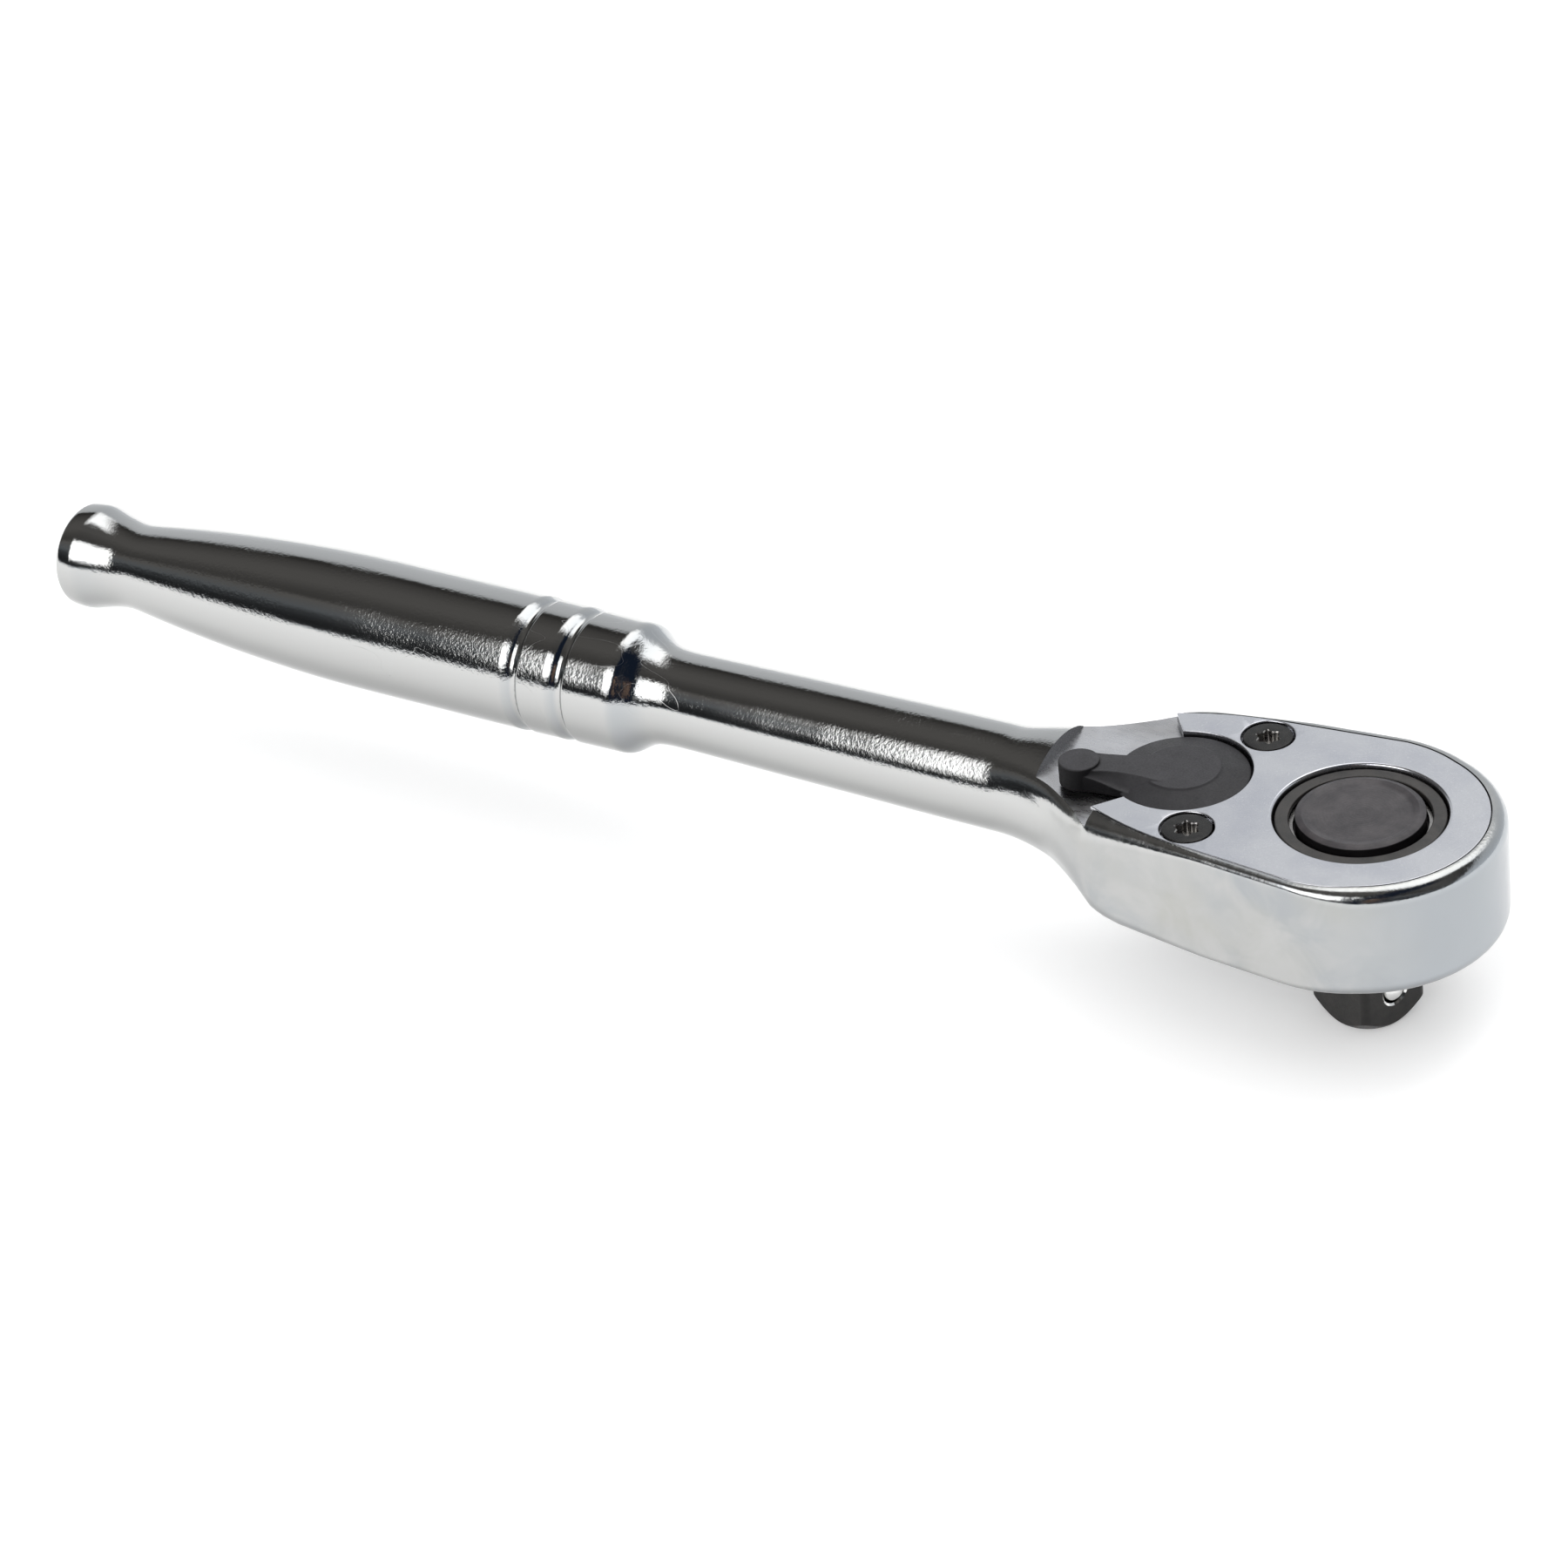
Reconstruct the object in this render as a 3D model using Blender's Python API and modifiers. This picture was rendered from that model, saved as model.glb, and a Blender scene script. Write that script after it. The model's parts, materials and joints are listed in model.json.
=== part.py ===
"""Quick-release ratchet wrench with a 3/8 inch square drive.

Frame: metres, +Z up through the release button, +X from the handle to the nose.
The origin is on the drive axis, at the centre of the square's end face.
Sizes below are in millimetres; MM turns them into metres.
"""
import math

import bmesh
import bpy

MM = 0.001
GAP = 0.3                 # clearance kept between neighbouring solids

# heights above the end of the drive square
HEAD_TOP = 27.4           # top face of the cover plate and of the head's rim
HEAD_BOTTOM = 13.2        # underside of the head
HANDLE_AXIS_Z = (HEAD_TOP + HEAD_BOTTOM) / 2
SEAT_Z = HEAD_TOP - 1.5   # plate seat and notch floor, milled in one pass
CAVITY_FLOOR_Z = 15.9     # floor of the gear and pawl cavity
GEAR_TOP_Z = 24.4         # upper face of the toothed disc

# head seen from above
NOSE_RADIUS = 16.7        # round nose about the drive axis
SIDE_TAPER = math.radians(5.5)
NECK_END_X = -46.0        # where the round neck starts to flare
NOTCH_X = -39.2           # wall of the lever notch on the neck side
PLATE_REAR_X = -26.6      # straight rear edge of the cover plate
PLATE_CORNER_X = -28.4    # its swept back corners

# handle
KNOB_END_X = -189.6
GROOVE_XS = (-113.7, -106.9)
GROOVE_HALF_WIDTH = 0.8
GROOVE_DEPTH = 0.4
TURNED_STEPS = 32

# drive train
SQUARE_SIDE = 9.525       # 3/8 inch
SQUARE_TURN = math.radians(-22.0)
GEAR_TEETH = 72
TOOTH_TIP_R = 12.0
TOOTH_ROOT_R = 11.3
GEAR_BORE_R = 12.4
HUB_R = 9.7
JOURNAL_R = 7.0
BUTTON_WELL_R = 8.25
BUTTON_WELL_Z = 20.0
BUTTON_R = 7.5
BUTTON_TRAVEL = 2.0
PIN_BORE_R = 2.3
BALL_R = 1.5
BALL_Z = 4.8
BALL_CENTRE_R = 3.9       # ball centre from the drive axis, ball pushed out

# pawl
PAWL_PIVOT_X = -16.0
PAWL_SWING = math.radians(3.5)     # from mid position to either gear contact
PAWL_PIN_R = 1.3
MESH_CLEARANCE = 0.15

# reversing lever
LEVER_X = -22.9
LEVER_DISC_R = 8.05
LEVER_SWING = math.radians(25.5)   # to either side of the handle's axis
LEVER_STEM_R = 3.0
PAD_REACH = 11.9
PAD_R = 2.3

# cover screws
SCREW_X = -16.9
SCREW_Y = 10.4
SCREW_HEAD_R = 2.95
SCREW_SHANK_R = 1.5
SCREW_TIP_Z = 18.8

COLOURS = {
    "chrome": ((0.62, 0.62, 0.61, 1.0), 1.0, 0.12),
    "satin_chrome": ((0.66, 0.66, 0.67, 1.0), 1.0, 0.28),
    "black_lever": ((0.045, 0.045, 0.048, 1.0), 0.4, 0.5),
    "black_oxide": ((0.03, 0.029, 0.028, 1.0), 0.7, 0.38),
    "tool_steel": ((0.40, 0.39, 0.38, 1.0), 1.0, 0.35),
    "bearing_steel": ((0.70, 0.70, 0.70, 1.0), 1.0, 0.08),
    "spring_steel": ((0.33, 0.32, 0.31, 1.0), 1.0, 0.3),
}


def clear_scene():
    for old in list(bpy.data.objects):
        bpy.data.objects.remove(old, do_unlink=True)


def new_collection(name):
    collection = bpy.data.collections.new(name)
    bpy.context.scene.collection.children.link(collection)
    return collection


clear_scene()
PARTS = new_collection("ratchet_wrench")
CUTTERS = new_collection("cutters")


def make_material(name):
    colour, metallic, roughness = COLOURS[name]
    material = bpy.data.materials.new(name)
    material.use_nodes = True
    shader = material.node_tree.nodes["Principled BSDF"]
    shader.inputs["Base Color"].default_value = colour
    shader.inputs["Metallic"].default_value = metallic
    shader.inputs["Roughness"].default_value = roughness
    return material


MATERIALS = {name: make_material(name) for name in COLOURS}


def add_object(name, mesh, collection):
    piece = bpy.data.objects.new(name, mesh)
    collection.objects.link(piece)
    return piece


def as_cutter(piece):
    piece.hide_render = True
    piece.display_type = 'WIRE'
    return piece


def finish_part(piece, material, smooth_angle=30.0):
    piece.data.materials.clear()
    piece.data.materials.append(MATERIALS[material])
    piece.data.shade_smooth()
    piece.data.set_sharp_from_angle(angle=math.radians(smooth_angle))
    return piece


def mesh_from_bmesh(name, shape):
    mesh = bpy.data.meshes.new(name)
    shape.to_mesh(mesh)
    shape.free()
    return mesh


def cylinder(name, radius, z_low, z_high, centre=(0.0, 0.0), collection=CUTTERS, sides=32):
    shape = bmesh.new()
    bmesh.ops.create_cone(shape, cap_ends=True, segments=sides, radius1=radius * MM,
                          radius2=radius * MM, depth=(z_high - z_low) * MM)
    piece = add_object(name, mesh_from_bmesh(name, shape), collection)
    piece.location = (centre[0] * MM, centre[1] * MM, (z_low + z_high) / 2 * MM)
    return piece


def cone(name, radius_low, radius_high, z_low, z_high, centre=(0.0, 0.0), sides=32):
    shape = bmesh.new()
    bmesh.ops.create_cone(shape, cap_ends=True, segments=sides, radius1=radius_low * MM,
                          radius2=radius_high * MM, depth=(z_high - z_low) * MM)
    piece = add_object(name, mesh_from_bmesh(name, shape), CUTTERS)
    piece.location = (centre[0] * MM, centre[1] * MM, (z_low + z_high) / 2 * MM)
    return piece


def box(name, x_range, y_range, z_range, collection=CUTTERS):
    shape = bmesh.new()
    bmesh.ops.create_cube(shape, size=1.0)
    size = [(high - low) * MM for low, high in (x_range, y_range, z_range)]
    bmesh.ops.scale(shape, vec=size, verts=shape.verts)
    piece = add_object(name, mesh_from_bmesh(name, shape), collection)
    piece.location = [(low + high) / 2 * MM for low, high in (x_range, y_range, z_range)]
    return piece


def slab(name, outline, z_low, z_high, collection=CUTTERS):
    """A flat outline of (x, y) points, filled and extruded between two heights."""
    curve = bpy.data.curves.new(name, 'CURVE')
    curve.dimensions = '2D'
    curve.fill_mode = 'BOTH'
    curve.extrude = (z_high - z_low) / 2 * MM
    spline = curve.splines.new('POLY')
    spline.points.add(len(outline) - 1)
    for point, (x, y) in zip(spline.points, outline):
        point.co = (x * MM, y * MM, 0.0, 1.0)
    spline.use_cyclic_u = True
    source = add_object(name + "_curve", curve, CUTTERS)
    source.location = (0.0, 0.0, (z_low + z_high) / 2 * MM)
    return curve_to_mesh(source, name, collection)


def curve_to_mesh(source, name, collection):
    """Replaces a curve object by a mesh object with welded caps."""
    bpy.context.view_layer.update()
    graph = bpy.context.evaluated_depsgraph_get()
    mesh = bpy.data.meshes.new_from_object(source.evaluated_get(graph))
    mesh.name = name
    shape = bmesh.new()
    shape.from_mesh(mesh)
    bmesh.ops.remove_doubles(shape, verts=shape.verts, dist=0.000001)
    bmesh.ops.recalc_face_normals(shape, faces=shape.faces)
    shape.to_mesh(mesh)
    shape.free()
    piece = add_object(name, mesh, collection)
    piece.matrix_world = source.matrix_world.copy()
    bpy.data.objects.remove(source, do_unlink=True)
    return piece


def turned(name, profile, collection=PARTS, steps=TURNED_STEPS):
    """A profile of (radius, z) points, top to bottom, turned about Z."""
    mesh = bpy.data.meshes.new(name)
    points = [(radius * MM, 0.0, z * MM) for radius, z in profile]
    closed = profile[0][0] > 0.0
    count = len(points)
    edges = [(i, (i + 1) % count) for i in range(count if closed else count - 1)]
    mesh.from_pydata(points, edges, [])
    piece = add_object(name, mesh, collection)
    screw = piece.modifiers.new("turn", 'SCREW')
    screw.axis = 'Z'
    screw.steps = steps
    screw.render_steps = steps
    screw.use_merge_vertices = True
    screw.merge_threshold = 0.000005
    screw.use_smooth_shade = True
    return piece


def coil(name, radius, wire, z_low, z_high, turns, steps_per_turn=14):
    """A helical spring about local Z, its ends inside the two heights."""
    curve = bpy.data.curves.new(name, 'CURVE')
    curve.dimensions = '3D'
    curve.bevel_depth = wire * MM
    curve.bevel_resolution = 2
    curve.use_fill_caps = True
    count = turns * steps_per_turn + 1
    low = z_low + wire
    rise = (z_high - z_low - 2 * wire) / (count - 1)
    spline = curve.splines.new('POLY')
    spline.points.add(count - 1)
    for i, point in enumerate(spline.points):
        angle = 2 * math.pi * i / steps_per_turn
        point.co = (radius * math.cos(angle) * MM, radius * math.sin(angle) * MM,
                    (low + rise * i) * MM, 1.0)
    source = add_object(name + "_curve", curve, CUTTERS)
    return curve_to_mesh(source, name, PARTS)


def boolean(piece, operation, *others):
    for other in others:
        as_cutter(other)
        step = piece.modifiers.new(operation.lower() + "_" + other.name, 'BOOLEAN')
        step.operation = operation
        step.solver = 'EXACT'
        step.object = other
    return piece


def apply_modifiers(piece):
    """Bakes a piece's modifiers into its mesh, so that its shading can be set."""
    bpy.context.view_layer.update()
    graph = bpy.context.evaluated_depsgraph_get()
    mesh = bpy.data.meshes.new_from_object(piece.evaluated_get(graph))
    mesh.name = piece.name
    piece.modifiers.clear()
    piece.data = mesh
    return piece


def empty(name, location, turn=0.0):
    axis = bpy.data.objects.new(name, None)
    CUTTERS.objects.link(axis)
    axis.location = [value * MM for value in location]
    axis.rotation_euler = (0.0, 0.0, turn)
    return axis


def arc(centre, radius, start, end, steps):
    """Points on an arc; angles in degrees."""
    points = []
    for i in range(steps + 1):
        angle = math.radians(start + (end - start) * i / steps)
        points.append((centre[0] + radius * math.cos(angle), centre[1] + radius * math.sin(angle)))
    return points


def mirrored(half):
    """Closes an upper half outline with its mirror image below the X axis."""
    return half + [(x, -y) for x, y in reversed(half) if abs(y) > 0.001]


# ---------------------------------------------------------------- head and handle

def side_reach(x):
    """Distance from the centre line to the tapering side of the head."""
    return NOSE_RADIUS + x * math.sin(SIDE_TAPER)


# stations of the flare: centre x, reach to the side, rise, drop, squareness
FLARE = (
    (NECK_END_X, 6.65, 6.6, 6.6, 0.0),
    (-43.0, 7.1, 7.1, 6.6, 0.08),
    (-40.0, 7.95, 7.4, 6.6, 0.22),
    (-37.0, 9.1, 7.4, 6.65, 0.42),
    (-34.0, 10.7, 7.25, 6.8, 0.65),
    (-31.0, 12.25, 7.1, 6.95, 0.85),
    (-28.0, 13.5, 7.1, 7.1, 1.0),
    (-24.0, side_reach(-24.0), 7.1, 7.1, 1.0),
    (-12.0, side_reach(-12.0), 7.1, 7.1, 1.0),
)
EDGE_RADIUS_SIDE = 0.9
EDGE_RADIUS_NOSE = 1.7
NOSE_STEPS = 10


def side_direction(x):
    """Angle of the section plane: square to the neck, then square to the side."""
    share = min(max((x + 38.0) / 12.0, 0.0), 1.0)
    return math.pi / 2 + SIDE_TAPER * share


def section(reach, rise, drop, squareness, edge):
    """Half section from the top centre round the side to the bottom centre."""
    flat = reach - edge
    tall = rise - edge
    bend = edge * math.sqrt(0.5)
    upper = [(0.0, rise), (flat / 2, rise), (flat, rise),
             (flat + bend, tall + bend), (reach, tall), (reach, tall / 2)]
    square = upper + [(reach, 0.0)] + [(y, -z) for y, z in reversed(upper)]
    points = []
    for i, (y, z) in enumerate(square):
        angle = math.pi / 2 - math.pi * i / (len(square) - 1)
        round_y = reach * math.cos(angle)
        round_z = rise * math.sin(angle)
        height = round_z + (z - round_z) * squareness
        height *= 1.0 if height > 0.0 else drop / rise
        points.append((round_y + (y - round_y) * squareness, height))
    return points


def head_rings():
    """Half sections along the flare and the sides, then round the nose."""
    rings = []
    for x, reach, rise, drop, squareness in FLARE:
        turn = side_direction(x)
        rings.append([(x + s * math.cos(turn), s * math.sin(turn), HANDLE_AXIS_Z + z)
                      for s, z in section(reach, rise, drop, squareness, EDGE_RADIUS_SIDE)])
    half_height = HEAD_TOP - HANDLE_AXIS_Z
    start = math.pi / 2 + SIDE_TAPER
    for i in range(NOSE_STEPS + 1):
        turn = start * (1 - i / NOSE_STEPS)
        edge = EDGE_RADIUS_SIDE + (EDGE_RADIUS_NOSE - EDGE_RADIUS_SIDE) * min(2 * i / NOSE_STEPS, 1.0)
        rings.append([(s * math.cos(turn), s * math.sin(turn), HANDLE_AXIS_Z + z)
                      for s, z in section(NOSE_RADIUS, half_height, half_height, 1.0, edge)])
    return rings


def make_head():
    """Loft from the round neck to the flat sided head, one half and its mirror."""
    shape = bmesh.new()
    rings = [[shape.verts.new((x * MM, y * MM, z * MM)) for x, y, z in ring] for ring in head_rings()]
    shape.faces.new(rings[0])
    for before, after in zip(rings, rings[1:]):
        for i in range(len(before) - 1):
            shape.faces.new((before[i], before[i + 1], after[i + 1], after[i]))
    for vert in shape.verts:
        if abs(vert.co.y) < 0.000001:
            vert.co.y = 0.0
    bmesh.ops.remove_doubles(shape, verts=shape.verts, dist=0.000001)
    mirror = bmesh.ops.duplicate(shape, geom=shape.verts[:] + shape.edges[:] + shape.faces[:])
    copies = [item for item in mirror["geom"] if isinstance(item, bmesh.types.BMVert)]
    bmesh.ops.scale(shape, vec=(1.0, -1.0, 1.0), verts=copies)
    bmesh.ops.remove_doubles(shape, verts=shape.verts, dist=0.000001)
    bmesh.ops.recalc_face_normals(shape, faces=shape.faces)
    bmesh.ops.triangulate(shape, faces=shape.faces)
    return add_object("head", mesh_from_bmesh("head", shape), PARTS)


def groove(x, radius):
    """A narrow ring groove in the grip, nearest the neck first."""
    return [(radius, x + GROOVE_HALF_WIDTH), (radius - GROOVE_DEPTH, x + 0.35 * GROOVE_HALF_WIDTH),
            (radius - GROOVE_DEPTH, x - 0.35 * GROOVE_HALF_WIDTH), (radius, x - GROOVE_HALF_WIDTH)]


def make_handle():
    """Turned neck, shoulder, grip, waist and knob, from the head outwards."""
    profile = [(0.0, -44.0), (6.75, -44.0), (6.65, -52.0), (6.1, -92.5), (6.25, -95.0), (6.9, -96.9),
               (8.36, -99.0), (8.45, -103.0)]
    profile += groove(GROOVE_XS[1], 8.5)
    profile += groove(GROOVE_XS[0], 8.62)
    profile += [(8.7, -118.0), (8.72, -132.0), (8.66, -146.0), (8.3, -154.5), (7.7, -163.0),
                (6.9, -171.0), (6.15, -177.0), (5.88, -180.0), (6.15, -182.6), (6.75, -185.2),
                (7.1, -187.0), (7.05, -188.6), (6.5, -189.4), (5.9, KNOB_END_X), (0.0, KNOB_END_X)]
    grip = turned("handle_turning", profile, collection=CUTTERS)
    grip.rotation_euler = (0.0, math.pi / 2, 0.0)
    grip.location = (0.0, 0.0, HANDLE_AXIS_Z * MM)
    return grip


def rim_outline(inset_side, inset_nose):
    """Outline inside the head's rim, from the rear corner to the nose."""
    points = []
    for x in (PLATE_CORNER_X, -24.0, -12.0):
        reach = (13.5 if x < -24.0 else side_reach(x)) - inset_side
        turn = side_direction(x)
        points.append((x + reach * math.cos(turn), reach * math.sin(turn)))
    start = 90.0 + math.degrees(SIDE_TAPER)
    steps = 14
    for i in range(steps + 1):
        turn = math.radians(start * (1 - i / steps))
        inset = inset_side + (inset_nose - inset_side) * min(1.6 * i / steps, 1.0)
        reach = NOSE_RADIUS - inset
        points.append((reach * math.cos(turn), reach * math.sin(turn)))
    return points


def pocket_outline():
    """Plate pocket and lever notch as one outline."""
    rim = rim_outline(0.9, 1.8)
    half = [(NOTCH_X, 20.0), (PLATE_CORNER_X - 2.2, 20.0), (PLATE_CORNER_X - 0.2, rim[0][1])]
    return mirrored(half + rim[1:])


def pawl_pocket_outline():
    half = [(-21.6, 3.7), (-19.6, 4.9), (-18.3, 6.4), (-15.2, 8.7), (-13.6, 10.5), (-11.5, 12.6),
            (-7.4, 12.6), (-5.0, 10.8)]
    return mirrored(half)


def tongue_swing_outline():
    """Sector of the recess that the lever's tongue swings in."""
    return [(LEVER_X, 0.0)] + arc((LEVER_X, 0.0), 9.8, -52.0, 52.0, 14)


def make_handle_body():
    body = make_head()
    body.name = "handle_body"
    above = HEAD_TOP + 5.0
    boolean(body, 'UNION', make_handle())
    cuts = [
        slab("plate_pocket", pocket_outline(), SEAT_Z, above),
        cylinder("gear_bore", GEAR_BORE_R, CAVITY_FLOOR_Z, above, sides=48),
        cylinder("journal_bore", JOURNAL_R + GAP, HEAD_BOTTOM - 2.0, CAVITY_FLOOR_Z + 2.0),
        slab("pawl_pocket", pawl_pocket_outline(), CAVITY_FLOOR_Z, above),
        slab("tongue_recess", tongue_swing_outline(), HEAD_TOP - 3.4, above),
        cylinder("lever_recess", LEVER_DISC_R + GAP, HEAD_TOP - 3.4, above, (LEVER_X, 0.0), sides=40),
        cylinder("stem_bore", LEVER_STEM_R + GAP, CAVITY_FLOOR_Z - 0.4, above, (LEVER_X, 0.0)),
        cylinder("pawl_pin_hole", PAWL_PIN_R + GAP, CAVITY_FLOOR_Z - 1.6, CAVITY_FLOOR_Z + 1.0,
                 (PAWL_PIVOT_X, 0.0), sides=20),
    ]
    for side, sign in (("near", -1.0), ("far", 1.0)):
        place = (SCREW_X, sign * SCREW_Y)
        cuts.append(cylinder("screw_hole_" + side, SCREW_SHANK_R + GAP, SCREW_TIP_Z - 0.4, above,
                             place, sides=20))
        cuts.append(cone("screw_sink_" + side, SCREW_SHANK_R + GAP - 0.1, 3.1 + GAP, 25.4, 27.2,
                         place, sides=24))
    boolean(body, 'DIFFERENCE', *cuts)
    return finish_part(apply_modifiers(body), "chrome", 35.0)


def make_cover_plate():
    rim = rim_outline(0.9 + GAP, 1.8 + GAP)
    half = [(PLATE_REAR_X, 0.0), (PLATE_REAR_X, 7.5)] + rim
    plate = slab("cover_plate", mirrored(half), SEAT_Z + GAP, HEAD_TOP, PARTS)
    cuts = [
        cylinder("plate_gear_hole", HUB_R + 0.4, SEAT_Z - 1.0, HEAD_TOP + 1.0, sides=48),
        cylinder("plate_lever_hole", LEVER_DISC_R + GAP, SEAT_Z - 1.0, HEAD_TOP + 1.0,
                 (LEVER_X, 0.0), sides=40),
    ]
    for side, sign in (("near", -1.0), ("far", 1.0)):
        cuts.append(cone("plate_sink_" + side, SCREW_SHANK_R + GAP - 0.1, SCREW_HEAD_R + GAP + 0.4,
                         25.5, HEAD_TOP + 0.2, (SCREW_X, sign * SCREW_Y), sides=24))
    boolean(plate, 'DIFFERENCE', *cuts)
    return finish_part(apply_modifiers(plate), "satin_chrome")


def make_cover_screw(side, sign):
    top = HEAD_TOP - 0.1
    profile = [(0.0, top), (SCREW_HEAD_R, top), (SCREW_HEAD_R, top - 0.2), (SCREW_SHANK_R, top - 1.65),
               (SCREW_SHANK_R, SCREW_TIP_Z + 0.4), (SCREW_SHANK_R - 0.4, SCREW_TIP_Z), (0.0, SCREW_TIP_Z)]
    screw = turned("cover_screw_" + side, profile, steps=24)
    lobes = []
    for i in range(24):
        angle = 2 * math.pi * i / 24
        reach = 1.25 + 0.2 * math.cos(6 * angle)
        lobes.append((reach * math.cos(angle), reach * math.sin(angle)))
    recess = slab("screw_recess_" + side, lobes, top - 1.1, top + 1.0)
    boolean(screw, 'DIFFERENCE', recess)
    finish_part(apply_modifiers(screw), "black_oxide")
    screw.location = (SCREW_X * MM, sign * SCREW_Y * MM, 0.0)
    return screw


# ---------------------------------------------------------------- reversing lever

def arm_outline():
    """Arm and round pad, pointing along local -X from the lever's axis."""
    half = [(-2.0, 0.0), (-2.0, 2.9), (-4.0, 2.3), (-6.5, 1.5), (-8.4, 1.5)]
    pad = [(-PAD_REACH - x, y) for x, y in arc((0.0, 0.0), PAD_R, 140.0, 0.0, 7)]
    return mirrored(half[1:] + pad)


def make_reversing_lever(axis):
    disc_low = HEAD_TOP - 3.1
    rim_top = HEAD_TOP - 0.9
    profile = [(0.0, HEAD_TOP + 0.45), (3.6, HEAD_TOP + 0.45), (LEVER_DISC_R - 0.25, rim_top + 0.1),
               (LEVER_DISC_R, rim_top - 0.15), (LEVER_DISC_R, disc_low), (LEVER_STEM_R, disc_low),
               (LEVER_STEM_R, CAVITY_FLOOR_Z - 0.1), (0.0, CAVITY_FLOOR_Z - 0.1)]
    lever = turned("reversing_lever", profile, steps=40)
    arm = slab("lever_arm", arm_outline(), SEAT_Z + GAP, HEAD_TOP + 0.95)
    pad = cylinder("lever_pad", PAD_R - 0.02, SEAT_Z + GAP + 0.1, HEAD_TOP + 1.9, (-PAD_REACH, 0.0), sides=24)
    tongue = box("lever_tongue", (4.0, 8.9), (-3.2, 3.2), (disc_low + 0.2, SEAT_Z - GAP))
    boolean(lever, 'UNION', arm, pad, tongue)
    bore = cylinder("plunger_bore", 1.4, -1.6, 6.0, sides=20)
    bore.location = (2.2 * MM, 0.0, HANDLE_AXIS_Z * MM)
    bore.rotation_euler = (0.0, math.pi / 2, 0.0)
    boolean(lever, 'DIFFERENCE', bore)
    finish_part(apply_modifiers(lever), "black_lever")
    lever.parent = axis
    return lever


def make_pawl_plunger(axis):
    """Round nosed plunger in the lever's stem; its tip faces the pawl's tail."""
    profile = [(0.0, 3.8), (0.6, 3.68), (1.05, 3.2), (1.15, 2.6), (1.15, 1.2), (0.0, 1.2)]
    plunger = turned("pawl_plunger", profile, steps=20)
    finish_part(apply_modifiers(plunger), "tool_steel")
    plunger.parent = axis
    plunger.location = (0.0, 0.0, HANDLE_AXIS_Z * MM)
    plunger.rotation_euler = (0.0, math.pi / 2, 0.0)
    return plunger


def make_plunger_spring(axis):
    spring = coil("plunger_spring", 0.85, 0.17, -1.35, 0.95, 4, 12)
    finish_part(spring, "spring_steel")
    spring.parent = axis
    spring.location = (0.0, 0.0, HANDLE_AXIS_Z * MM)
    spring.rotation_euler = (0.0, math.pi / 2, 0.0)
    return spring


# ---------------------------------------------------------------- pawl

def engaged_to_middle(point):
    """Turns a point of the engaged +Y arm back to the pawl's middle position."""
    x, y = point[0] - PAWL_PIVOT_X, point[1]
    c, s = math.cos(PAWL_SWING), math.sin(PAWL_SWING)
    return (x * c - y * s, x * s + y * c)


def pawl_outline():
    """Outline about the pivot, in the middle position."""
    pitch = 360.0 / GEAR_TEETH
    teeth = []
    for i in range(7):
        angle = math.radians(180.0 - (35.0 + i * pitch / 2))
        reach = (TOOTH_TIP_R if i % 2 == 0 else TOOTH_ROOT_R) + MESH_CLEARANCE
        teeth.append(engaged_to_middle((reach * math.cos(angle), reach * math.sin(angle))))
    heel_angle = math.radians(180.0 - 50.0)
    heel = engaged_to_middle((14.3 * math.cos(heel_angle), 14.3 * math.sin(heel_angle)))
    relief = [(x - PAWL_PIVOT_X, y) for x, y in arc((0.0, 0.0), 13.1, 180.0, 150.0, 4)]
    back = [heel, (3.2, 10.0), (0.4, 7.2), (-2.0, 4.4), (-2.9, 2.8), (-2.9, 0.0)]
    half = relief + teeth + back
    return half + [(x, -y) for x, y in reversed(half[1:-1])]


def make_pawl():
    pawl = slab("pawl", pawl_outline(), CAVITY_FLOOR_Z + GAP, 24.0, PARTS)
    hole = cylinder("pawl_hole", PAWL_PIN_R + GAP, CAVITY_FLOOR_Z - 1.0, 26.0, sides=20)
    boolean(pawl, 'DIFFERENCE', hole)
    finish_part(apply_modifiers(pawl), "tool_steel", 20.0)
    rise = pawl.location.z
    pawl.location = (PAWL_PIVOT_X * MM, 0.0, rise)
    pawl.rotation_euler = (0.0, 0.0, -PAWL_SWING)
    return pawl


def make_pawl_pin():
    pin = cylinder("pawl_pin", PAWL_PIN_R, CAVITY_FLOOR_Z - 1.3, 24.0, (PAWL_PIVOT_X, 0.0), PARTS, 20)
    return finish_part(pin, "tool_steel")


# ---------------------------------------------------------------- drive gear and release

def gear_outline():
    """Pointed ratchet teeth; the square's turn is taken back out of their phase."""
    points = []
    pitch = 2 * math.pi / GEAR_TEETH
    for i in range(GEAR_TEETH):
        tip = i * pitch - SQUARE_TURN
        points.append((TOOTH_TIP_R * math.cos(tip), TOOTH_TIP_R * math.sin(tip)))
        root = tip + pitch / 2
        points.append((TOOTH_ROOT_R * math.cos(root), TOOTH_ROOT_R * math.sin(root)))
    return points


def make_square():
    """Square with broken edges and a turned chamfer at its tip."""
    half = SQUARE_SIDE / 2
    square = box("drive_square", (-half, half), (-half, half), (0.0, HEAD_BOTTOM + 2.0))
    shape = bmesh.new()
    shape.from_mesh(square.data)
    upright = [e for e in shape.edges if abs(e.verts[0].co.z - e.verts[1].co.z) > 0.001]
    bmesh.ops.bevel(shape, geom=upright, offset=0.85 * MM, segments=2, profile=0.5, affect='EDGES')
    shape.to_mesh(square.data)
    shape.free()
    envelope = cone("square_tip_turning", 4.4, 4.4 + HEAD_BOTTOM + 4.0, 0.0, HEAD_BOTTOM + 4.0, sides=40)
    boolean(square, 'INTERSECT', envelope)
    return apply_modifiers(square)


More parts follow.
